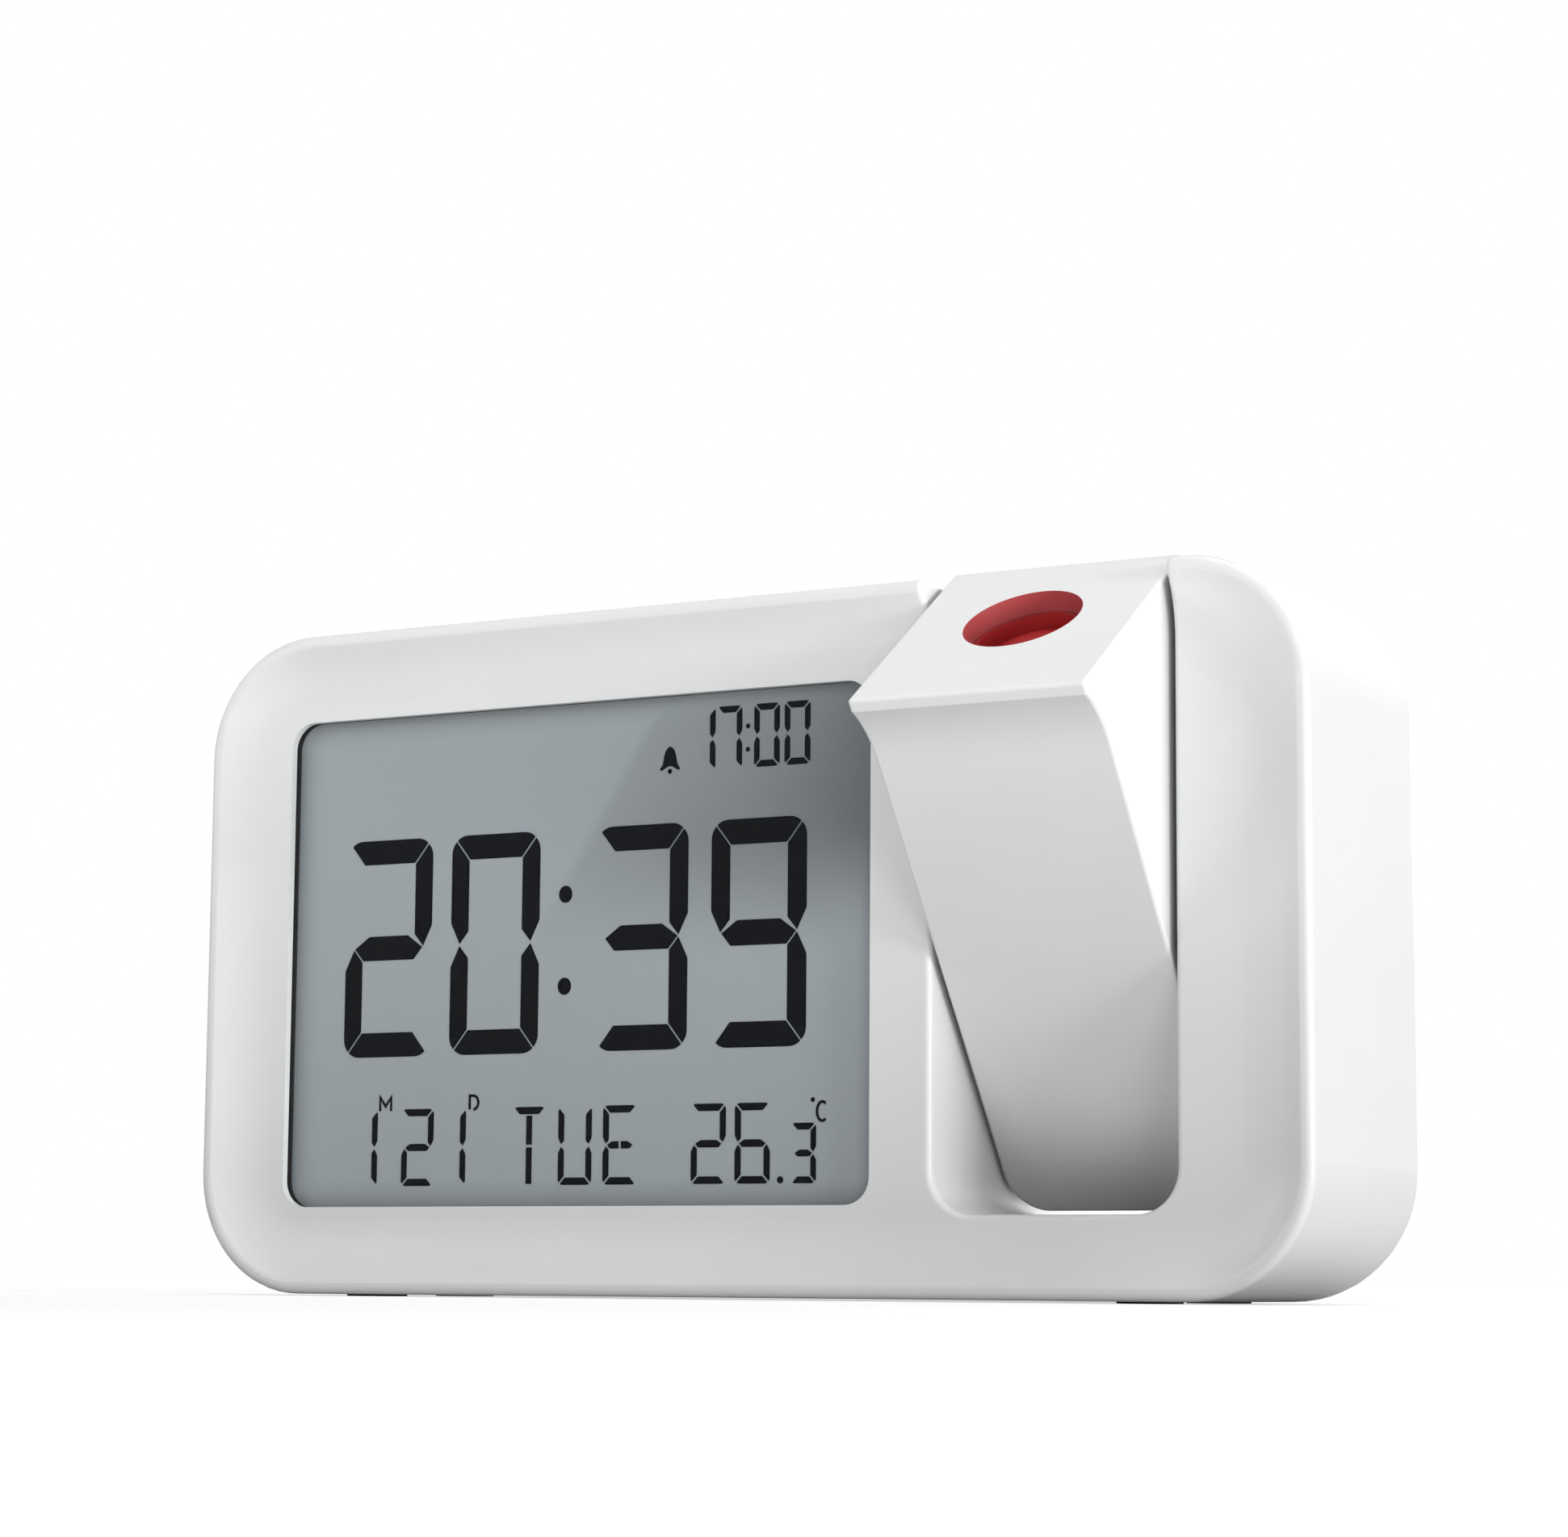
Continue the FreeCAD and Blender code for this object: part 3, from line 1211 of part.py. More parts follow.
def temperature_sensor():
    """The bead and its two legs, behind the vents."""
    x = REAR_BOARD_LEFT_X + SENSOR_INSET
    y = BACK_INNER_Y - SENSOR_RADIUS - KEY_GAP
    bead = Part.makeSphere(SENSOR_RADIUS, Vector(x, y, LOW_ROW_Z))
    legs = [rod_y(0.25, x + side * 0.7, REAR_BOARD_BACK_Y, y, LOW_ROW_Z) for side in (-1, 1)]
    return joined([bead] + legs)


def feet():
    """The four pads pressed into the base."""
    pads = []
    for x, y in foot_places():
        pad = rod_z(FOOT_RADIUS, x, y, 0, FOOT_THICKNESS)
        rim = [edge for edge in pad.Edges if edge.Vertexes[0].Point.z < 1e-6 and edge.Closed]
        pads.append(pad.makeFillet(FOOT_STANDOFF * 0.6, rim[:1]))
    return pads


def case_screws():
    """The four screws from the back into the front housing's bosses."""
    return [
        screw(
            x,
            BACK_Y - SCREW_HEAD_HEIGHT,
            z,
            SCREW_RADIUS,
            SCREW_LENGTH,
            SCREW_HEAD_RADIUS,
            SCREW_HEAD_HEIGHT,
            Vector(0, -1, 0),
        )
        for x, z in case_screw_places()
    ]


# Battery bay

def cell_rows():
    """The height of each cell, and which way its tip points along X."""
    apart = CELL_RADIUS + CELL_GAP / 2
    middle = (BAY_LOW_Z + BAY_HIGH_Z) / 2
    return ((middle - apart, 1), (middle + apart, -1))


def cell_ends(tip):
    """The flat end of a cell and the end of its body by the tip, as X."""
    if tip > 0:
        flat = BAY_LEFT_X + CONTACT_THICKNESS + SPRING_LENGTH
    else:
        flat = BAY_RIGHT_X - CONTACT_THICKNESS - SPRING_LENGTH
    return flat, flat + tip * CELL_LENGTH


def battery_cells():
    """The two small cells, side by side and head to tail."""
    cells = []
    for z, tip in cell_rows():
        flat, shoulder = cell_ends(tip)
        body = rod_x(CELL_RADIUS, min(flat, shoulder), max(flat, shoulder), CELL_Y, z)
        rims = [edge for edge in body.Edges if edge.Closed]
        body = body.makeFillet(0.5, rims)
        tip_end = shoulder + tip * CELL_TIP_LENGTH
        start = shoulder - tip * 0.5
        cells.append(
            joined([body, rod_x(CELL_TIP_RADIUS, min(start, tip_end), max(start, tip_end), CELL_Y, z)])
        )
    return cells


def battery_springs():
    """A coil spring at the flat end of each cell, wound in half turns that each lie in a tilted plane."""
    springs = []
    coil_length = SPRING_LENGTH - 2 * SPRING_WIRE_RADIUS
    half_turns = round(2 * coil_length / SPRING_PITCH)
    rise = coil_length / half_turns
    for z, tip in cell_rows():
        halves = []
        for index in range(half_turns):
            side = 1 if index % 2 == 0 else -1
            start = Vector(side * SPRING_RADIUS, 0, index * rise)
            centre = Vector(0, 0, (index + 0.5) * rise)
            axis = (start - centre).cross(Vector(0, side, 0))
            section = Part.Face(Part.Wire(Part.makeCircle(SPRING_WIRE_RADIUS, start, Vector(0, 1, 0))))
            halves.append(section.revolve(centre, axis, 180))
        coil = joined(halves)
        coil.rotate(Vector(0, 0, 0), Vector(0, 1, 0), 90 * tip)
        flat, shoulder = cell_ends(tip)
        coil.translate(Vector(flat - tip * (SPRING_LENGTH - SPRING_WIRE_RADIUS), CELL_Y, z))
        springs.append(coil)
    return springs


def battery_contacts():
    """The sprung plates at both ends of the bay: a pair on the left and one bridge on the right."""
    half = CONTACT_SIZE / 2
    plates = []
    for z, tip in cell_rows():
        x0 = BAY_LEFT_X
        plates.append(box(x0, x0 + CONTACT_THICKNESS, CELL_Y - half, CELL_Y + half, z - half, z + half))
    low, high = cell_rows()[0][0], cell_rows()[1][0]
    x1 = BAY_RIGHT_X
    plates.append(box(x1 - CONTACT_THICKNESS, x1, CELL_Y - half, CELL_Y + half, low - half, high + half))
    return plates


def battery_leads():
    """The two wires from the top of the bay to the rear board."""
    y = REAR_BOARD_FRONT_Y - LEAD_RADIUS
    low = BAY_HIGH_Z + BAY_WALL
    high = REAR_BOARD_Z + 2 * POST_INSET
    first = REAR_BOARD_LEFT_X + POST_INSET + BOSS_RADIUS + LEAD_RADIUS
    return [rod_z(LEAD_RADIUS, first + index * 4 * LEAD_RADIUS, y, low, high) for index in range(2)]


def battery_cover():
    """The cover of the battery bay, flush with the back, with a ribbed grip and a rib between the cells."""
    plate = battery_cover_plate(COVER_GAP, BATTERY_COVER_Y)
    middle_x = (BAY_LEFT_X + BAY_RIGHT_X) / 2
    grips = []
    end_radius = COVER_GRIP_WIDTH / 2 - 0.01
    y0 = BACK_Y - COVER_GRIP_DEPTH
    for index in range(COVER_GRIPS):
        z = BAY_HIGH_Z - COVER_GRIP_INSET - COVER_GRIP_PITCH * index
        grips.append(
            rounded_plate(middle_x, z, COVER_GRIP_LENGTH, COVER_GRIP_WIDTH, end_radius, y0, BACK_Y + 1)
        )
    middle_z = (BAY_LOW_Z + BAY_HIGH_Z) / 2
    half_rib = BAY_LENGTH / 2 - COVER_RIB_INSET
    rib = box(
        middle_x - half_rib,
        middle_x + half_rib,
        BATTERY_COVER_Y - COVER_RIB_HEIGHT,
        BATTERY_COVER_Y + BATTERY_COVER_THICKNESS / 2,
        middle_z - COVER_RIB_WIDTH / 2,
        middle_z + COVER_RIB_WIDTH / 2,
    )
    return joined([plate.cut(grips), rib])


# Pivot

def pivot_sides():
    """For each side of the slot: its sign, the wall's face in the slot and the wall's face in the case."""
    return {
        "left": (-1, SLOT_LEFT_X, SLOT_LEFT_X - CASE_WALL),
        "right": (1, SLOT_RIGHT_X, SLOT_RIGHT_X + CASE_WALL),
    }


def bar_along_pivot(radius, a, b):
    """A round bar on the pivot axis between two X values, in either order."""
    return rod_x(radius, min(a, b), max(a, b), PIVOT.y, PIVOT.z)


def pivot_bush(side):
    """The plastic bush in the slot's wall that a trunnion turns in, with a thin thrust flange."""
    sign, slot_face, case_face = pivot_sides()[side]
    sleeve = bar_along_pivot(BUSH_RADIUS, case_face, slot_face - sign * 0.1)
    flange = bar_along_pivot(BUSH_FLANGE_RADIUS, slot_face, slot_face - sign * BUSH_FLANGE_THICKNESS)
    bore = bar_along_pivot(TRUNNION_RADIUS + RUNNING_FIT, case_face + sign, slot_face - sign)
    return joined([sleeve, flange]).cut(bore)


def friction_rings():
    """The rubber rings that hold the arm where it is put, inside each wall."""
    rings = []
    for sign, slot_face, case_face in pivot_sides().values():
        outside = bar_along_pivot(FRICTION_RING_RADIUS, case_face, case_face + sign * FRICTION_RING_THICKNESS)
        bore = bar_along_pivot(TRUNNION_RADIUS + RUNNING_FIT, case_face - sign, case_face + 2 * sign)
        rings.append(outside.cut(bore))
    return rings


def trunnion(side):
    """A hollow stub shaft: its flange is inside the arm, and its end passes through the bush."""
    sign, slot_face, case_face = pivot_sides()[side]
    inner_wall = SLOT_X + sign * ARM_INNER_HALF_WIDTH
    end = case_face + sign * TRUNNION_REACH
    flange = bar_along_pivot(
        TRUNNION_FLANGE_RADIUS, inner_wall, inner_wall - sign * TRUNNION_FLANGE_THICKNESS
    )
    shaft = bar_along_pivot(TRUNNION_RADIUS, inner_wall, end)
    bore = bar_along_pivot(TRUNNION_BORE_RADIUS, inner_wall - 3 * sign, end + sign)
    groove_x = case_face + sign * (FRICTION_RING_THICKNESS + FIT)
    groove_end = groove_x + sign * (CLIP_THICKNESS + FIT)
    groove = bar_along_pivot(TRUNNION_RADIUS + 1, groove_x, groove_end).cut(
        bar_along_pivot(TRUNNION_RADIUS - CLIP_GROOVE_DEPTH, groove_x, groove_end)
    )
    return joined([flange, shaft]).cut(bore).cut(groove)


def retaining_clips():
    """The open spring clips in the grooves of the trunnions."""
    clips = []
    for sign, slot_face, case_face in pivot_sides().values():
        start = case_face + sign * (FRICTION_RING_THICKNESS + 1.5 * FIT)
        end = start + sign * CLIP_THICKNESS
        disc = bar_along_pivot(CLIP_RADIUS, start, end)
        bore = bar_along_pivot(TRUNNION_RADIUS - CLIP_GROOVE_DEPTH + RUNNING_FIT, start - sign, end + sign)
        half = TRUNNION_RADIUS - CLIP_GROOVE_DEPTH
        mouth = box(
            min(start, end) - 1,
            max(start, end) + 1,
            PIVOT.y - half,
            PIVOT.y + half,
            PIVOT.z,
            PIVOT.z + 2 * CLIP_RADIUS
        )
        clips.append(on_arm(disc.cut(bore).cut(mouth)))
    return clips


def projector_lead():
    """The case's half of the projector lead, on the pivot axis, from its plug into the trunnion's bore."""
    start = TRUNNION_LEFT_END_X - LEAD_PLUG_GAP
    end = SLOT_LEFT_X - CASE_WALL / 2
    return rod_x(LEAD_RADIUS, start, end, PIVOT.y, PIVOT.z)


def lead_plug():
    """The plug that joins the projector lead to the main board."""
    x1 = TRUNNION_LEFT_END_X - LEAD_PLUG_GAP
    return box(x1 - LEAD_PLUG_LENGTH, x1, MAIN_BOARD_BACK_Y, LEAD_RADIUS + 1.2, PIVOT.z - 4, PIVOT.z + 4)


# Projector arm, drawn upright and turned to its tilt

def arm_side(front, back, top):
    """The side view of the upright arm above its pivot, with the cove and lip of the case's dish."""
    curve_radius = (COVE_WIDTH ** 2 + DISH_DEPTH ** 2) / (2 * DISH_DEPTH)
    half_turn = math.asin(COVE_WIDTH / curve_radius) / 2
    x = SLOT_X - ARM_HALF_WIDTH
    high = PIVOT.z + top
    cove_low = high - DISH_BORDER
    bend = Vector(
        x,
        front - curve_radius + curve_radius * math.cos(half_turn),
        cove_low + curve_radius * math.sin(half_turn),
    )
    points = [
        Vector(x, front, PIVOT.z),
        Vector(x, front, cove_low),
        Vector(x, front - DISH_DEPTH, high - LIP_WIDTH),
        Vector(x, front - DISH_DEPTH, high),
        Vector(x, back, high),
        Vector(x, back, PIVOT.z),
    ]
    edges = [Part.makeLine(a, b) for a, b in zip(points, points[1:] + points[:1])]
    edges[1] = Part.Arc(points[1], bend, points[2]).toShape()
    return Part.Face(Part.Wire(edges)).extrude(Vector(2 * ARM_HALF_WIDTH, 0, 0))


def arm_end(radius, half_width, corner_radius, front, back):
    """The arm below its pivot: a round end about the pivot axis, with its two rims rounded."""
    disc = rod_x(radius, SLOT_X - half_width, SLOT_X + half_width, PIVOT.y, PIVOT.z)
    rims = [edge for edge in disc.Edges if edge.Closed and abs(edge.Curve.Radius - radius) < 1e-6]
    disc = disc.makeFillet(corner_radius, rims)
    below = box(SLOT_X - half_width, SLOT_X + half_width, front, back, PIVOT.z - radius - 1, PIVOT.z)
    return disc.common(below)


def arm_form():
    """The outside of the upright arm."""
    upper = arm_side(ARM_FRONT, ARM_BACK, ARM_TOP)
    back_edge = [
        edge
        for edge in upper.Edges
        if all(abs(v.Point.y - ARM_BACK) < 1e-6 and v.Point.z > TOP_Z - 1e-6 for v in edge.Vertexes)
    ]
    upper = upper.makeFillet(ARM_BACK_ROUNDING, back_edge)
    lower = arm_end(ARM_END_RADIUS, ARM_HALF_WIDTH, ARM_CORNER_RADIUS, ARM_FRONT, ARM_BACK)
    form = joined([upper, lower])
    return form.makeFillet(ARM_EDGE_ROUNDING, sharp_edges(form, LEFT_X, RIGHT_X))


def arm_room():
    """The room inside the upright arm, open at the back."""
    upper = arm_box(
        -ARM_INNER_HALF_WIDTH, ARM_INNER_HALF_WIDTH, ARM_INNER_FRONT, ARM_BACK + 1, -0.01, ARM_INNER_TOP
    )
    keep_back = arm_box(
        -ARM_INNER_HALF_WIDTH, ARM_INNER_HALF_WIDTH, ARM_INNER_BACK, ARM_BACK + 2, ARM_COVER_TOP, ARM_TOP
    )
    lower = arm_end(
        ARM_END_RADIUS - ARM_WALL,
        ARM_INNER_HALF_WIDTH,
        ARM_CORNER_RADIUS - ARM_WALL,
        ARM_INNER_FRONT,
        ARM_BACK + 1
    )
    keep_low = arm_box(
        -ARM_INNER_HALF_WIDTH,
        ARM_INNER_HALF_WIDTH,
        ARM_INNER_BACK,
        ARM_BACK + 2,
        -ARM_END_RADIUS,
        ARM_COVER_BASE
    )
    return joined([upper, lower]).cut([keep_back, keep_low])


def rails():
    """The ledges on the arm's side walls that hold the projector board and the foot of the optics tube."""
    tube_flange_top = TUBE_BASE + TUBE_FLANGE_THICKNESS
    heights = (
        ARM_BOARD_BASE - RAIL_THICKNESS,
        ARM_BOARD_BASE + BOARD_THICKNESS,
        TUBE_BASE - RAIL_THICKNESS,
        tube_flange_top,
    )
    inner = ARM_INNER_HALF_WIDTH
    ledges = []
    for t in heights:
        for u0, u1 in ((-inner - 0.3, -inner + RAIL_REACH), (inner - RAIL_REACH, inner + 0.3)):
            ledges.append(arm_box(u0, u1, ARM_INNER_FRONT - 0.3, ARM_INNER_BACK - 4.0, t, t + RAIL_THICKNESS))
    return ledges


def arm_shell():
    """The arm's body: face, sides and end in one piece, with the lens opening, pivot holes and rails."""
    shell = arm_form().cut(arm_room())
    added = rails()
    added.append(optic_rod(LENS_OPENING_RADIUS + LENS_COLLAR_WALL, ARM_TOP - LENS_COLLAR_LENGTH, ARM_TOP - 1))
    for u, t in arm_screw_places():
        added.append(rod_y(BOSS_RADIUS, SLOT_X + u, ARM_INNER_FRONT - 0.3, ARM_INNER_BACK, PIVOT.z + t))
    shell = joined([shell] + added)
    cuts = [optic_rod(LENS_OPENING_RADIUS, ARM_TOP - LENS_COLLAR_LENGTH - 1, ARM_TOP + 1)]
    cuts.append(
        bar_along_pivot(TRUNNION_RADIUS + RUNNING_FIT, SLOT_LEFT_X - 1, SLOT_X - ARM_INNER_HALF_WIDTH + 1)
    )
    cuts.append(
        bar_along_pivot(TRUNNION_RADIUS + RUNNING_FIT, SLOT_X + ARM_INNER_HALF_WIDTH - 1, SLOT_RIGHT_X + 1)
    )
    for u, t in arm_screw_places():
        y0 = ARM_BACK - SMALL_SCREW_HEAD_HEIGHT - SHORT_SCREW_LENGTH - FIT
        cuts.append(rod_y(SMALL_SCREW_RADIUS + SCREW_CLEARANCE, SLOT_X + u, y0, ARM_BACK, PIVOT.z + t))
    return on_arm(shell.cut(cuts))


def arm_rear_cover():
    """The arm's back plate, with the focus wheel's slot and the two ears that carry its pin."""
    across = ARM_INNER_HALF_WIDTH - FIT
    plate = arm_box(-across, across, ARM_INNER_BACK, ARM_BACK, ARM_COVER_BASE + FIT, ARM_COVER_TOP - FIT)
    ear_low = FOCUS_WHEEL_DEPTH - FOCUS_PIN_RADIUS - 1.4
    ears = []
    for u in focus_ear_places():
        ears.append(
            arm_box(
                u,
                u + EAR_THICKNESS,
                FOCUS_WHEEL_DEPTH,
                ARM_INNER_BACK + 0.5,
                FOCUS_WHEEL_HEIGHT - FOCUS_PIN_RADIUS - 1.4,
                FOCUS_WHEEL_HEIGHT + FOCUS_PIN_RADIUS + 1.4,
            )
        )
        ears.append(
            rod_x(
                FOCUS_WHEEL_DEPTH - ear_low,
                SLOT_X + u,
                SLOT_X + u + EAR_THICKNESS,
                FOCUS_WHEEL_DEPTH,
                PIVOT.z + FOCUS_WHEEL_HEIGHT,
            )
        )
    plate = joined([plate] + ears)
    chord = math.sqrt(FOCUS_WHEEL_RADIUS ** 2 - (ARM_INNER_BACK - FOCUS_WHEEL_DEPTH) ** 2) + 0.5
    cuts = [
        arm_box(
            WHEEL_OFFSET - 0.4,
            WHEEL_OFFSET + FOCUS_WHEEL_WIDTH + 0.4,
            ARM_INNER_BACK - 0.1,
            ARM_BACK + 1,
            FOCUS_WHEEL_HEIGHT - chord,
            FOCUS_WHEEL_HEIGHT + chord,
        ),
        rod_x(
            FOCUS_PIN_RADIUS + RUNNING_FIT,
            SLOT_X,
            SLOT_X + ARM_HALF_WIDTH,
            FOCUS_WHEEL_DEPTH,
            PIVOT.z + FOCUS_WHEEL_HEIGHT,
        ),
    ]
    for u, t in arm_screw_places():
        cuts.append(
            rod_y(SMALL_SCREW_RADIUS + FIT, SLOT_X + u, ARM_INNER_BACK - 1, ARM_BACK + 1, PIVOT.z + t)
        )
        cuts.append(
            rod_y(
                SMALL_SCREW_HEAD_RADIUS + FIT,
                SLOT_X + u,
                ARM_BACK - SMALL_SCREW_HEAD_HEIGHT - FIT,
                ARM_BACK + 1,
                PIVOT.z + t,
            )
        )
    return on_arm(plate.cut(cuts))


def focus_ear_places():
    """Where the two ears start, across the arm."""
    return (PINION_OFFSET - KEY_GAP - EAR_THICKNESS, WHEEL_OFFSET + FOCUS_WHEEL_WIDTH + KEY_GAP)


def arm_screws():
    """The three screws of the arm's rear cover."""
    y = ARM_BACK - SMALL_SCREW_HEAD_HEIGHT
    return [on_arm(small_screw(SLOT_X + u, y, PIVOT.z + t, Vector(0, -1, 0))) for u, t in arm_screw_places()]


def optics_tube():
    """The dark tube that lines up the lamp, the condenser and the small display, with its foot."""
    across = ARM_INNER_HALF_WIDTH - FIT
    flange = arm_box(
        -across,
        across,
        ARM_INNER_FRONT + FIT,
        ARM_INNER_BACK - 4.0,
        TUBE_BASE,
        TUBE_BASE + TUBE_FLANGE_THICKNESS
    )
    tube = joined([optic_rod(TUBE_RADIUS, TUBE_BASE, TUBE_TOP), flange])
    inner = TUBE_RADIUS - TUBE_WALL
    cuts = [
        optic_rod(inner, TUBE_BASE - 1, CONDENSER_TOP),
        optic_rod(inner - SHOULDER_DEPTH, TUBE_BASE, SLIDE_BASE),
        optic_rod(inner, CONDENSER_TOP + SHOULDER_HEIGHT, SLIDE_BASE - SHOULDER_HEIGHT),
        optic_rod(inner, SLIDE_BASE, TUBE_TOP + 1),
        arm_box(
            -across - 1,
            -TUBE_RADIUS + 0.1,
            PIVOT.y - LEAD_RADIUS - 0.4,
            PIVOT.y + LEAD_RADIUS + 0.4,
            TUBE_BASE - 1,
            TUBE_BASE + TUBE_FLANGE_THICKNESS + 1,
        ),
    ]
    return on_arm(tube.cut(cuts))


def condenser_lens():
    """The lens that gathers the lamp's light: flat above, domed towards the lamp."""
    radius = TUBE_RADIUS - TUBE_WALL - FIT
    top = PIVOT.z + CONDENSER_TOP
    rim = optic_rod(radius, CONDENSER_TOP - CONDENSER_EDGE, CONDENSER_TOP)
    sag = CONDENSER_RADIUS_OF_CURVE - math.sqrt(CONDENSER_RADIUS_OF_CURVE ** 2 - radius ** 2)
    centre = Vector(SLOT_X, OPTIC_OFFSET, top - CONDENSER_EDGE - sag + CONDENSER_RADIUS_OF_CURVE)
    dome = Part.makeSphere(CONDENSER_RADIUS_OF_CURVE, centre)
    dome = dome.common(
        optic_rod(radius, CONDENSER_TOP - CONDENSER_EDGE - sag - 1, CONDENSER_TOP - CONDENSER_EDGE)
    )
    return on_arm(joined([rim, dome]))


def slide_display():
    """The small display whose picture is thrown on the wall."""
    return on_arm(
        arm_box(
            -SLIDE_WIDTH / 2,
            SLIDE_WIDTH / 2,
            OPTIC_OFFSET - SLIDE_HEIGHT / 2,
            OPTIC_OFFSET + SLIDE_HEIGHT / 2,
            SLIDE_BASE,
            SLIDE_BASE + SLIDE_THICKNESS,
        )
    )


def projector_board():
    """The small board under the lamp, held by the rails."""
    across = ARM_INNER_HALF_WIDTH - FIT
    return on_arm(
        arm_box(
            -across,
            across,
            ARM_INNER_FRONT + FIT,
            ARM_INNER_BACK - 4.0,
            ARM_BOARD_BASE,
            ARM_BOARD_BASE + BOARD_THICKNESS,
        )
    )


def projector_led():
    """The red lamp of the projector."""
    base = ARM_BOARD_BASE + BOARD_THICKNESS
    straight = LED_LENGTH - LED_RADIUS
    flange = optic_rod(LED_FLANGE_RADIUS, base, base + 1.0)
    body = optic_rod(LED_RADIUS, base, base + straight)
    dome = Part.makeSphere(LED_RADIUS, Vector(SLOT_X, OPTIC_OFFSET, PIVOT.z + base + straight))
    return on_arm(joined([flange, body, dome]))


def arm_lead():
    """The arm's half of the projector lead: out of the trunnion, round a bend and down to the board."""
    x0 = SLOT_LEFT_X - CASE_WALL / 2 + LEAD_GAP
    flange_face = SLOT_X - ARM_INNER_HALF_WIDTH + TRUNNION_FLANGE_THICKNESS
    bend = LEAD_BEND_RADIUS
    z_end = PIVOT.z + ARM_BOARD_BASE + BOARD_THICKNESS
    points = [
        Vector(x0, PIVOT.y, PIVOT.z),
        Vector(flange_face, PIVOT.y, PIVOT.z),
        Vector(flange_face + bend, PIVOT.y, PIVOT.z - bend),
        Vector(flange_face + bend, PIVOT.y, z_end),
    ]
    diagonal = bend * math.sqrt(0.5)
    middle = Vector(flange_face + diagonal, PIVOT.y, PIVOT.z - bend + diagonal)
    path = Part.Wire(
        [
            Part.makeLine(points[0], points[1]),
            Part.Arc(points[1], middle, points[2]).toShape(),
            Part.makeLine(points[2], points[3]),
        ]
    )
    section = Part.Wire(Part.makeCircle(LEAD_RADIUS, points[0], Vector(1, 0, 0)))
    return on_arm(path.makePipeShell([section], True, True))


def lens_cell():
    """The sliding lens holder, with the rack that the focus pinion moves."""
    tube = optic_rod(LENS_CELL_RADIUS, LENS_CELL_BASE, LENS_CELL_TOP)
    rack_root = RACK_PITCH_LINE - 1.2 * GEAR_MODULE
    pitch = math.pi * GEAR_MODULE
    rack_low = FOCUS_WHEEL_HEIGHT - RACK_TEETH / 2 * pitch
    rack_high = FOCUS_WHEEL_HEIGHT + RACK_TEETH / 2 * pitch
    u0, u1 = PINION_OFFSET, PINION_OFFSET + PINION_WIDTH
    block = arm_box(u0, u1, OPTIC_OFFSET + 4.0, rack_root, rack_low, rack_high)
    link = arm_box(u0, LENS_CELL_RADIUS, OPTIC_OFFSET, OPTIC_OFFSET + 5.0, LENS_CELL_BASE, rack_high)
    cell = joined([tube, block, link] + rack_teeth(u0, u1, rack_root))
    bore = LENS_CELL_RADIUS - 2 * LENS_CELL_RIM
    cuts = [
        optic_rod(bore, LENS_CELL_BASE - 5, LENS_CELL_TOP),
        optic_rod(
            LENS_CELL_RADIUS - LENS_CELL_RIM,
            LENS_CELL_TOP - LENS_SETBACK - LENS_EDGE - 1.0,
            LENS_CELL_TOP + 1,
        ),
    ]
    return on_arm(cell.cut(cuts))


def rack_teeth(u0, u1, root):
    """Straight-sided teeth that stand towards the back, one level with the pinion's axis."""
    pitch = math.pi * GEAR_MODULE
    tip = RACK_PITCH_LINE + 0.9 * GEAR_MODULE
    lean = math.tan(math.radians(20))
    teeth = []
    for index in range(RACK_TEETH):
        middle = PIVOT.z + FOCUS_WHEEL_HEIGHT + (index - (RACK_TEETH - 1) / 2) * pitch
        half = pitch / 4 - GEAR_BACKLASH / 2
        wide = half + (RACK_PITCH_LINE - root) * lean
        narrow = half - (tip - RACK_PITCH_LINE) * lean
        teeth.append(
            prism(
                [
                    (root - 0.2, middle - wide),
                    (tip, middle - narrow),
                    (tip, middle + narrow),
                    (root - 0.2, middle + wide),
                ],
                SLOT_X + u0,
                SLOT_X + u1,
            )
        )
    return teeth


def prism(corners, x0, x1):
    """A straight-sided bar along X, from its corners in Y and Z."""
    points = [Vector(x0, y, z) for y, z in corners]
    return Part.Face(Part.makePolygon(points + points[:1])).extrude(Vector(x1 - x0, 0, 0))


def pinion():
    """The small gear beside the thumbwheel, with a tooth space towards the rack."""
    root = PINION_RADIUS - 1.2 * GEAR_MODULE
    tip = PINION_RADIUS + 0.9 * GEAR_MODULE
    half = math.pi * GEAR_MODULE / 4 - GEAR_BACKLASH / 2
    lean = math.tan(math.radians(20))
    x0, x1 = SLOT_X + PINION_OFFSET, SLOT_X + WHEEL_OFFSET
    y, z = FOCUS_WHEEL_DEPTH, PIVOT.z + FOCUS_WHEEL_HEIGHT
    pieces = [rod_x(root, x0, x1 + 0.2, y, z)]
    for index in range(PINION_TEETH):
        wide = half + (PINION_RADIUS - root) * lean * 0.6
        narrow = half - (tip - PINION_RADIUS) * lean * 1.3
        tooth = prism(
            [
                (y - root + 0.3, z - wide),
                (y - tip, z - narrow),
                (y - tip, z + narrow),
                (y - root + 0.3, z + wide),
            ],
            x0,
            x1
        )
        tooth.rotate(Vector(x0, y, z), Vector(1, 0, 0), (index + 0.5) * 360 / PINION_TEETH)
        pieces.append(tooth)
    return joined(pieces)


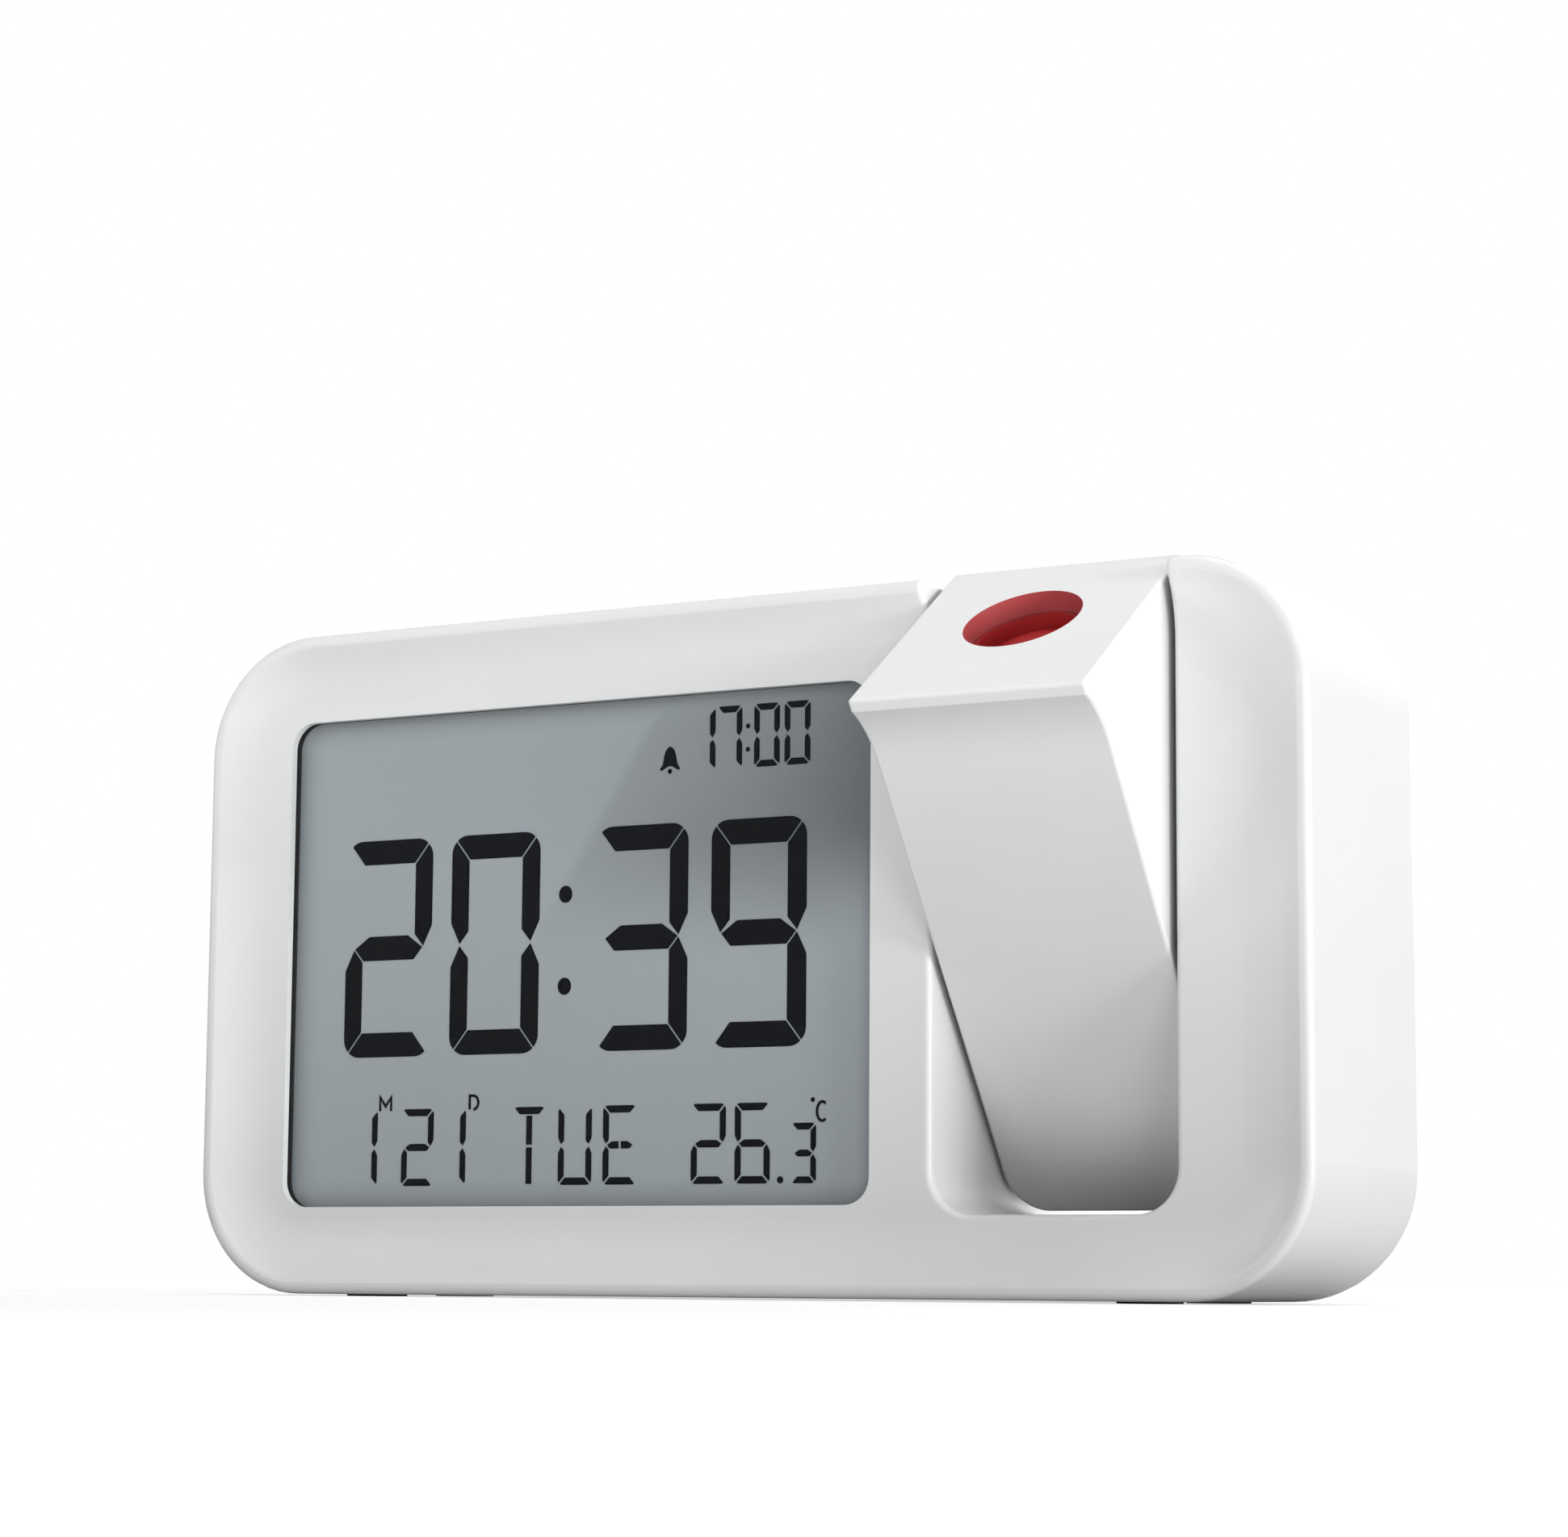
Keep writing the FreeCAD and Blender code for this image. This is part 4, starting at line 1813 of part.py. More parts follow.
def focus_wheel():
    """The grooved thumbwheel with its pinion and its pin."""
    y, z = FOCUS_WHEEL_DEPTH, PIVOT.z + FOCUS_WHEEL_HEIGHT
    x0 = SLOT_X + WHEEL_OFFSET
    x1 = x0 + FOCUS_WHEEL_WIDTH
    wheel = rod_x(FOCUS_WHEEL_RADIUS, x0, x1, y, z)
    grooves = []
    for index in range(FOCUS_WHEEL_GRIPS):
        angle = 2 * math.pi * index / FOCUS_WHEEL_GRIPS
        along, up = FOCUS_WHEEL_RADIUS * math.cos(angle), FOCUS_WHEEL_RADIUS * math.sin(angle)
        grooves.append(rod_x(GRIP_RADIUS, x0 - 1, x1 + 1, y + along, z + up))
    first_ear, second_ear = focus_ear_places()
    pin = rod_x(FOCUS_PIN_RADIUS, SLOT_X + first_ear, SLOT_X + second_ear + EAR_THICKNESS, y, z)
    return on_arm(joined([wheel.cut(grooves), pinion(), pin]))


def projection_lens():
    """The front lens: two domed faces on a round edge."""
    radius = LENS_CELL_RADIUS - LENS_CELL_RIM - RUNNING_FIT
    top = LENS_CELL_TOP - LENS_SETBACK
    sag = LENS_RADIUS_OF_CURVE - math.sqrt(LENS_RADIUS_OF_CURVE ** 2 - radius ** 2)
    upper = Part.makeSphere(
        LENS_RADIUS_OF_CURVE, Vector(SLOT_X, OPTIC_OFFSET, PIVOT.z + top - LENS_RADIUS_OF_CURVE)
    )
    rim_low = top - sag - LENS_EDGE
    disc = optic_rod(radius, rim_low, top)
    lens = disc.common(upper)
    seat = LENS_CELL_TOP - LENS_SETBACK - LENS_EDGE - 1.0
    lens = lens.cut(optic_rod(radius + 1, rim_low - 1, seat)) if rim_low < seat else lens
    return on_arm(lens)


def write(name, shape):
    """One node: a solid, or a group of separate solids."""
    solids = shape if isinstance(shape, list) else [shape]
    solids = [solid for piece in solids for solid in piece.Solids]
    for solid in solids:
        if not solid.isValid():
            print("not valid:", name)
    whole = solids[0] if len(solids) == 1 else Part.makeCompound(solids)
    whole.exportStep(f"parts/{name}.step")
    print(f"{name}: {len(solids)} solid(s), {sum(solid.Volume for solid in solids):.1f} cubic mm")


def main():
    """Write every piece of the clock."""
    os.makedirs("parts", exist_ok=True)
    pieces = {
        "front_housing": front_housing(),
        "rear_housing": rear_housing(),
        "display_window": display_window(),
        "window_tape": window_tape(),
        "lcd_panel": lcd_panel(),
        "lcd_frame": lcd_frame(),
        "light_guide": light_guide(),
        "reflector_sheet": reflector_sheet(),
        "backlight_leds": backlight_leds(),
        "zebra_strips": zebra_strips(),
        "display_screws": display_screws(),
        "main_board": main_board(),
        "main_board_screws": main_board_screws(),
        "controller_chip": controller_chip(),
        "quartz_crystal": quartz_crystal(),
        "board_parts": board_parts(),
        "board_header": board_header(),
        "snooze_switches": snooze_switches(),
        "snooze_bar": snooze_bar(),
        "rear_board": rear_board(),
        "rear_board_screws": rear_board_screws(),
        "key_switches": key_switches(),
        "slide_switch": slide_switch(),
        "switch_knob": switch_knob(),
        "power_socket": power_socket(),
        "buzzer": buzzer(),
        "temperature_sensor": temperature_sensor(),
        "feet": feet(),
        "case_screws": case_screws(),
        "battery_cells": battery_cells(),
        "battery_springs": battery_springs(),
        "battery_contacts": battery_contacts(),
        "battery_leads": battery_leads(),
        "battery_cover": battery_cover(),
        "left_pivot_bush": pivot_bush("left"),
        "right_pivot_bush": pivot_bush("right"),
        "friction_rings": friction_rings(),
        "projector_lead": projector_lead(),
        "lead_plug": lead_plug(),
        "arm_shell": arm_shell(),
        "arm_rear_cover": arm_rear_cover(),
        "arm_screws": arm_screws(),
        "left_trunnion": trunnion("left"),
        "right_trunnion": trunnion("right"),
        "retaining_clips": retaining_clips(),
        "optics_tube": optics_tube(),
        "condenser_lens": condenser_lens(),
        "slide_display": slide_display(),
        "projector_board": projector_board(),
        "projector_led": projector_led(),
        "arm_lead": arm_lead(),
        "lens_cell": lens_cell(),
        "projection_lens": projection_lens(),
        "focus_wheel": focus_wheel(),
    }
    for name, x in key_places():
        pieces[f"key_{name}"] = key(x)
    for name, shape in pieces.items():
        write(name, shape)


if __name__ == "__main__":
    main()
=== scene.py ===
"""The looks of a white projection alarm clock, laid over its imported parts."""

import json
import logging
import math
from dataclasses import dataclass, field
from enum import Enum

import bpy
import numpy as np
from mathutils import Matrix, Vector

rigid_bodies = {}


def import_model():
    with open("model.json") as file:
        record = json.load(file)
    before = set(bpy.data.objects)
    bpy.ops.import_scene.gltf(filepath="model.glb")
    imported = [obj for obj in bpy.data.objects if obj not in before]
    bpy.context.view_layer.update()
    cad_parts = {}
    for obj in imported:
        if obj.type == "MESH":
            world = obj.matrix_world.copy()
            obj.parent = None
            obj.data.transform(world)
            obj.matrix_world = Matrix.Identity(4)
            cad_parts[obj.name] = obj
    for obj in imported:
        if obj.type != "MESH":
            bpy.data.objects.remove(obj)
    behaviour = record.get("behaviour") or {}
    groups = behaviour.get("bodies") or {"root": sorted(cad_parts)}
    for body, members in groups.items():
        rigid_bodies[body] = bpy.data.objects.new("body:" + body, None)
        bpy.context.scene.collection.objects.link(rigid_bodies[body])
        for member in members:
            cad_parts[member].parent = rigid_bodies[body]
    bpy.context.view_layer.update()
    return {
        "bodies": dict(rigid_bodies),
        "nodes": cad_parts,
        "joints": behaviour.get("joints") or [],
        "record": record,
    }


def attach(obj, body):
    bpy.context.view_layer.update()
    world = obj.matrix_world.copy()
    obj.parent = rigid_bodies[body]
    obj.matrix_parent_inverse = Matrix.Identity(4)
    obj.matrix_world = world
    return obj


LOG = logging.getLogger("clock")
MM = 0.001
FLOAT = "NodeSocketFloat"
VECTOR = "NodeSocketVector"
Colour = tuple[float, float, float]
Point = tuple[float, float, float]
Span = tuple[float, float]
Row = tuple[tuple[str, float], ...]
Tree = bpy.types.NodeTree
Node = bpy.types.Node
Socket = bpy.types.NodeSocket


class Pattern(Enum):
    """What a finish shows from close by."""

    SATIN = "fine moulded grain"
    TURNED = "fine lines from a tool"
    LAMINATE = "woven board with copper tracks under its lacquer"
    POLISHED = "almost smooth, with slow waves"


class Blend(Enum):
    """How a number runs from one end of its span to the other."""

    STRAIGHT = "LINEAR"
    SMOOTH = "SMOOTHSTEP"


@dataclass(frozen=True)
class LensOpening:
    """Where the arm's lens opening is: the arm's pivot and tilt, and the opening's axis, radius and foot."""

    pivot: Vector = field(default_factory=lambda: Vector((45.65, 0.0, 46.55)) * MM)
    tilt: float = 35.2
    offset: float = 1.0 * MM
    radius: float = 7.46 * MM
    low: float = 30.0 * MM


@dataclass(frozen=True)
class PaintedDisplayShade:
    """The painted shades on the display, with places in metres and depths from 0 to 1.

    The slanting one is a painted reflection: past its line the display is painted darker, where the
    reflection in the glass ends. It fades in across its line, deepens over its reach, and fades out from the
    head down to the foot.
    The border is a painted shadow of the frame along its left, top and low edge.
    """

    slant: float = 0.639
    line: float = -60.2 * MM
    before: float = 0.6 * MM
    after: float = 2.2 * MM
    reach: float = 40.0 * MM
    light: float = 0.16
    deep: float = 0.54
    foot: float = 42.0 * MM
    head: float = 61.0 * MM
    left: float = -69.6 * MM
    top: float = 77.0 * MM
    low: float = 11.4 * MM
    border: float = 4.2 * MM
    edge: float = 0.27
    tint: Colour = (0.0, 0.0, 0.0)


@dataclass(frozen=True)
class Finish:
    """One surface finish.

    Grain and depth are the size and the height of its pattern in metres. Mottling is how much darker the
    pattern's shade makes it, and shine is the shader's specular level. The recess shade is painted shade: how
    much darker it is painted deep in a recess. The lens red light is painted red light of the lamp inside the
    arm's lens opening, and the shade is the display's painted reflection and painted shadow.
    """

    colour: Colour
    roughness: float = 0.4
    pattern: Pattern = Pattern.SATIN
    grain: float = 0.0004
    depth: float = 0.000006
    mottling: float = 0.05
    metallic: float = 0.0
    transmission: float = 0.0
    ior: float = 1.46
    coat: float = 0.0
    glow: float = 0.0
    shine: float = 0.5
    recess: float = 0.0
    lens_red_light: Colour | None = None
    shade: PaintedDisplayShade | None = None


GLOSS_SPREAD = 0.12
GLOSS_LIFT = 0.01
# The colour of the painted shade deep in recesses and gaps.
RECESS_SHADE_TINT: Colour = (0.02, 0.03, 0.035)


FINISHES: dict[str, Finish] = {
    # Both shells are painted darker deep in their recesses and gaps: painted shade.
    "white_shell": Finish((0.81, 0.82, 0.815), 0.36, recess=0.05),
    # The arm's white is painted a little lighter than the case's: painted light on its front.
    "arm_shell": Finish((0.86, 0.87, 0.865), 0.36, recess=0.56, lens_red_light=(0.45, 0.075, 0.08)),
    "key_plastic": Finish((0.78, 0.79, 0.785), 0.42),
    "clear_window": Finish(
        (1.0, 1.0, 1.0), 0.012, Pattern.POLISHED, 0.02, 0.000002, 0.0, transmission=1.0, ior=1.12, shine=0.3
    ),
    # The display takes a painted reflection across it and a painted shadow of the frame round its edges.
    "lcd_glass": Finish(
        (0.39, 0.43, 0.455), 0.45, Pattern.POLISHED, 0.03, 0.000001, 0.04, shine=0.1, shade=PaintedDisplayShade()
    ),
    "frame_plastic": Finish((0.70, 0.71, 0.70), 0.5),
    "light_guide": Finish((0.90, 0.93, 0.95), 0.08, Pattern.POLISHED, 0.01, 0.000002, 0.02, transmission=0.8),
    "white_film": Finish((0.86, 0.86, 0.85), 0.55),
    "lamp_package": Finish((0.82, 0.74, 0.42), 0.35),
    "dark_rubber": Finish((0.035, 0.035, 0.037), 0.72, grain=0.0006, depth=0.000012),
    "grey_rubber": Finish((0.20, 0.20, 0.205), 0.75, grain=0.0006, depth=0.000012),
    "board_green": Finish((0.02, 0.15, 0.055), 0.3, Pattern.LAMINATE, 0.0016, 0.00002, 0.3, coat=0.4),
    "chip_black": Finish((0.018, 0.018, 0.02), 0.5, grain=0.0003),
    "ceramic_tan": Finish((0.46, 0.34, 0.20), 0.45, grain=0.0003, mottling=0.12),
    # Inside the lens opening this black is painted dark red: painted red light of the lamp.
    "black_plastic": Finish((0.02, 0.02, 0.022), 0.38, lens_red_light=(0.34, 0.018, 0.02)),
    "steel": Finish((0.52, 0.53, 0.54), 0.28, Pattern.TURNED, 0.0002, 0.000004, 0.15, metallic=1.0),
    "bright_metal": Finish((0.80, 0.80, 0.80), 0.2, Pattern.TURNED, 0.0002, 0.000003, 0.1, metallic=1.0),
    "cell_wrap": Finish((0.05, 0.16, 0.10), 0.25, Pattern.POLISHED, 0.004, 0.000004, 0.15, coat=0.5),
    "lead_sleeve": Finish((0.50, 0.03, 0.03), 0.45, grain=0.0008),
    "acetal": Finish((0.76, 0.75, 0.70), 0.35),
    "trunnion_metal": Finish((0.60, 0.60, 0.60), 0.25, Pattern.TURNED, 0.0003, 0.000004, 0.12, metallic=1.0),
    "optic_clear": Finish(
        (0.95, 0.97, 1.0), 0.01, Pattern.POLISHED, 0.01, 0.000001, 0.0, transmission=1.0, ior=1.49
    ),
    # The lens's glow is painted red light; the lens itself is no lamp.
    "red_lens": Finish(
        (0.36, 0.022, 0.025), 0.06, Pattern.POLISHED, 0.005, 0.000002, 0.1, glow=0.2, coat=0.1, shine=0.2
    ),
    "red_lamp": Finish((0.75, 0.03, 0.02), 0.12, Pattern.POLISHED, 0.003, 0.000002, 0.05, transmission=0.5),
}


class NodeBench:
    """Places and wires the nodes of one tree."""

    def __init__(self, tree: Tree) -> None:
        """Start on an empty tree.

        Args:
            tree: the node tree that the nodes go in.
        """
        self.tree = tree

    def add(self, kind: str, settings: dict[str, object] | None = None, **inputs: object) -> Node:
        """Place a node, set it up and feed its inputs.

        Args:
            kind: the node's type name.
            settings: the node's own settings, by name.
            inputs: values or sockets by input name, with underscores for spaces; "in_2" is input number 2.

        Returns:
            The new node.
        """
        node = self.tree.nodes.new(kind)
        for name, value in (settings or {}).items():
            setattr(node, name, value)
        for name, value in inputs.items():
            key = int(name[3:]) if name.startswith("in_") else name.replace("_", " ")
            self.feed(node.inputs[key], value)
        return node

    def feed(self, target: Socket, value: object) -> None:
        """Link a socket to an input, or set the input's own value.

        Args:
            target: the input.
            value: a socket to link, or a value to set.
        """
        if isinstance(value, bpy.types.NodeSocket):
            self.tree.links.new(value, target)
        else:
            target.default_value = value

    def mathed(self, operation: str, a: object, b: object) -> Socket:
        """Join two numbers by one sum.

        Args:
            operation: the sum's name.
            a: the first number or socket.
            b: the second number or socket.

        Returns:
            The result's socket.
        """
        return self.add("ShaderNodeMath", {"operation": operation}, in_0=a, in_1=b).outputs[0]

    def vectored(self, operation: str, a: Socket, b: Point) -> Socket:
        """Join two vectors by one sum.

        Args:
            operation: the sum's name.
            a: the first vector's socket.
            b: the second vector.

        Returns:
            The result's socket.
        """
        return self.add("ShaderNodeVectorMath", {"operation": operation}, in_0=a, in_1=b).outputs[0]

    def ranged(
        self, value: Socket, span: Span, start: object, end: float, blend: Blend = Blend.STRAIGHT
    ) -> Socket:
        """Map a number's span onto another one, held at both ends.

        Args:
            value: the number's socket.
            span: the span that it is read over.
            start: the result at the span's start, as a number or socket.
            end: the result at the span's end.
            blend: how the result runs between them.

        Returns:
            The result's socket.
        """
        node = self.add(
            "ShaderNodeMapRange",
            {"interpolation_type": blend.value},
            Value=value,
            in_1=span[0],
            in_2=span[1],
            in_3=start,
            in_4=end,
        )
        return node.outputs[0]

    def mixed(self, mask: Socket, first: object, second: Colour) -> Socket:
        """Mix two colours.

        Args:
            mask: 0 for the first colour and 1 for the second.
            first: the first colour, or its socket.
            second: the second colour.

        Returns:
            The mixed colour's socket.
        """
        under = first if isinstance(first, bpy.types.NodeSocket) else (*first, 1.0)
        node = self.add("ShaderNodeMix", {"data_type": "RGBA"}, in_0=mask, in_6=under, in_7=(*second, 1.0))
        return node.outputs[2]


def cleared(owner: bpy.types.ID) -> NodeBench:
    """Give a material or a world an empty node tree.

    Args:
        owner: the material or the world.

    Returns:
        A bench on its tree.
    """
    owner.use_nodes = True
    owner.node_tree.nodes.clear()
    return NodeBench(owner.node_tree)


def shader_group(name: str, inputs: dict[str, str], outputs: dict[str, str]) -> tuple[NodeBench, Node, Node]:
    """Make an empty node group with named sockets.

    Args:
        name: the group's name.
        inputs: socket types by input name.
        outputs: socket types by output name.

    Returns:
        A bench on the group, its input node and its output node.
    """
    tree = bpy.data.node_groups.new(name, "ShaderNodeTree")
    for names, way in ((inputs, "INPUT"), (outputs, "OUTPUT")):
        for label, kind in names.items():
            tree.interface.new_socket(label, in_out=way, socket_type=kind)
    return NodeBench(tree), tree.nodes.new("NodeGroupInput"), tree.nodes.new("NodeGroupOutput")


@dataclass
class SurfaceGroups:
    """The node groups that the finishes share.

    Each pattern gives a shade mask, a gloss mask and a height. Waves, patches, weave and smears are in
    repeats per metre. The recess shade mask is painted shade in recesses and gaps; it runs from closed to
    open, which are shares of the directions that are free within its reach.
    """

    mould_waves: float = 55.0
    mould_patches: float = 170.0
    tool_stretch: Point = (1.0, 0.06, 1.0)
    metal_waves: float = 300.0
    track_gap: float = 0.16
    track_edge: float = 0.35
    weave: float = 2400.0
    weave_gloss: float = 0.6
    smears: float = 90.0
    # The painted recess shade: its reach, its closed and open ends, and its samples.
    reach: float = 28.0 * MM
    closed: float = 0.12
    open: float = 0.5
    samples: int = 8

    def __post_init__(self) -> None:
        """Build every group once."""
        self.by_pattern: dict[Pattern, Tree] = {
            Pattern.SATIN: self.satin(),
            Pattern.TURNED: self.turned(),
            Pattern.LAMINATE: self.laminate(),
            Pattern.POLISHED: self.polished(),
        }
        self.recess = self.recess_shade_mask()
        self.opening = self.opening_mask(LensOpening())

    def start(self, name: str) -> tuple[NodeBench, Node, Node]:
        """Open a group that reads a place and a pattern size.

        Args:
            name: the group's name.

        Returns:
            A bench on the group, its input node and its output node.
        """
        return shader_group(
            name, {"Place": VECTOR, "Size": FLOAT}, {"Shade": FLOAT, "Gloss": FLOAT, "Height": FLOAT}
        )

    def close(self, bench: NodeBench, sink: Node, shade: Socket, gloss: Socket, height: Socket) -> Tree:
        """Wire a group's three results.

        Args:
            bench: the bench on the group.
            sink: the group's output node.
            shade: the shade mask, 0 to 1.
            gloss: the gloss mask, 0 to 1.
            height: the height, 0 to 1.

        Returns:
            The finished group.
        """
        for label, value in (("Shade", shade), ("Gloss", gloss), ("Height", height)):
            bench.feed(sink.inputs[label], value)
        return bench.tree

    def noise(self, bench: NodeBench, place: Socket, scale: object, detail: float = 2.0) -> Socket:
        """One noise pattern over a place.

        Args:
            bench: the bench to build on.
            place: the place to read.
            scale: repeats per metre.
            detail: how many finer layers it has.

        Returns:
            The noise from 0 to 1.
        """
        return bench.add("ShaderNodeTexNoise", Vector=place, Scale=scale, Detail=detail).outputs[0]

    def satin(self) -> Tree:
        """Moulded plastic: an even fine grain, and slow patches where the mould is a little glossier.

        Returns:
            The finished group.
        """
        bench, source, sink = self.start("satin_grain")
        fine = bench.mathed("DIVIDE", 1.0, source.outputs["Size"])
        grain = self.noise(bench, source.outputs["Place"], fine, detail=3.0)
        slow = self.noise(bench, source.outputs["Place"], self.mould_waves)
        patches = self.noise(bench, source.outputs["Place"], self.mould_patches, detail=4.0)
        return self.close(bench, sink, slow, patches, grain)

    def turned(self) -> Tree:
        """Metal: thin lines across one axis, broken up by noise.

        Returns:
            The finished group.
        """
        bench, source, sink = self.start("turned_lines")
        fine = bench.mathed("DIVIDE", 1.0, source.outputs["Size"])
        stretched = bench.vectored("MULTIPLY", source.outputs["Place"], self.tool_stretch)
        lines = self.noise(bench, stretched, fine)
        slow = self.noise(bench, source.outputs["Place"], self.metal_waves)
        return self.close(bench, sink, slow, lines, lines)

    def laminate(self) -> Tree:
        """A circuit board: a weave under lacquer, with straight tracks that stand a little proud.

        Returns:
            The finished group.
        """
        bench, source, sink = self.start("board_laminate")
        fine = bench.mathed("DIVIDE", 1.0, source.outputs["Size"])
        axes = bench.add("ShaderNodeSeparateXYZ", in_0=source.outputs["Place"]).outputs
        facing = bench.add("ShaderNodeCombineXYZ", in_0=axes[0], in_1=axes[2], in_2=axes[1])
        cells = bench.add(
            "ShaderNodeTexBrick",
            {"offset": 0.37, "squash": 2.3, "squash_frequency": 3},
            Vector=facing.outputs[0],
            Scale=fine,
            Mortar_Size=self.track_gap,
            Mortar_Smooth=self.track_edge,
        )
        tracks = bench.mathed("SUBTRACT", 1.0, cells.outputs["Fac"])
        weave = self.noise(bench, source.outputs["Place"], self.weave)
        gloss = bench.mathed("MULTIPLY", weave, self.weave_gloss)
        return self.close(bench, sink, tracks, gloss, tracks)

    def polished(self) -> Tree:
        """Glass and lacquer: slow waves, and smears that show only in the gloss.

        Returns:
            The finished group.
        """
        bench, source, sink = self.start("polished_waves")
        slow = bench.mathed("DIVIDE", 1.0, source.outputs["Size"])
        waves = self.noise(bench, source.outputs["Place"], slow, detail=1.0)
        smears = self.noise(bench, source.outputs["Place"], self.smears, detail=5.0)
        return self.close(bench, sink, waves, smears, waves)

    def recess_shade_mask(self) -> Tree:
        """Painted shade for recesses and gaps: the given amount where surfaces stand close, 0 in the open.

        Returns:
            The finished group.
        """
        bench, source, sink = shader_group("recess_shade_mask", {"Amount": FLOAT}, {"Mask": FLOAT})
        free = bench.add("ShaderNodeAmbientOcclusion", {"samples": self.samples}, Distance=self.reach)
        amount = source.outputs["Amount"]
        mask = bench.ranged(free.outputs["AO"], (self.closed, self.open), amount, 0.0, Blend.SMOOTH)
        bench.feed(sink.inputs["Mask"], mask)
        return bench.tree

    def opening_mask(self, opening: LensOpening) -> Tree:
        """Where red light is painted inside the lens opening: within its radius of its axis, and above its
        foot.

        Args:
            opening: where the opening is.

        Returns:
            The finished group.
        """
        bench, source, sink = shader_group("lens_opening_mask", {"Place": VECTOR}, {"Mask": FLOAT})
        from_pivot = bench.add(
            "ShaderNodeMapping",
            {"vector_type": "TEXTURE"},
            Vector=source.outputs["Place"],
            Location=tuple(opening.pivot),
            Rotation=(math.radians(opening.tilt), 0.0, 0.0),
        ).outputs[0]
        from_axis = bench.vectored("SUBTRACT", from_pivot, (0.0, opening.offset, 0.0))
        flat = bench.vectored("MULTIPLY", from_axis, (1.0, 1.0, 0.0))
        distance = bench.add("ShaderNodeVectorMath", {"operation": "LENGTH"}, in_0=flat).outputs["Value"]
        height = bench.add("ShaderNodeSeparateXYZ", in_0=from_pivot).outputs[2]
        inside = bench.mathed("LESS_THAN", distance, opening.radius)
        above = bench.mathed("GREATER_THAN", height, opening.low)
        bench.feed(sink.inputs["Mask"], bench.mathed("MULTIPLY", inside, above))
        return bench.tree


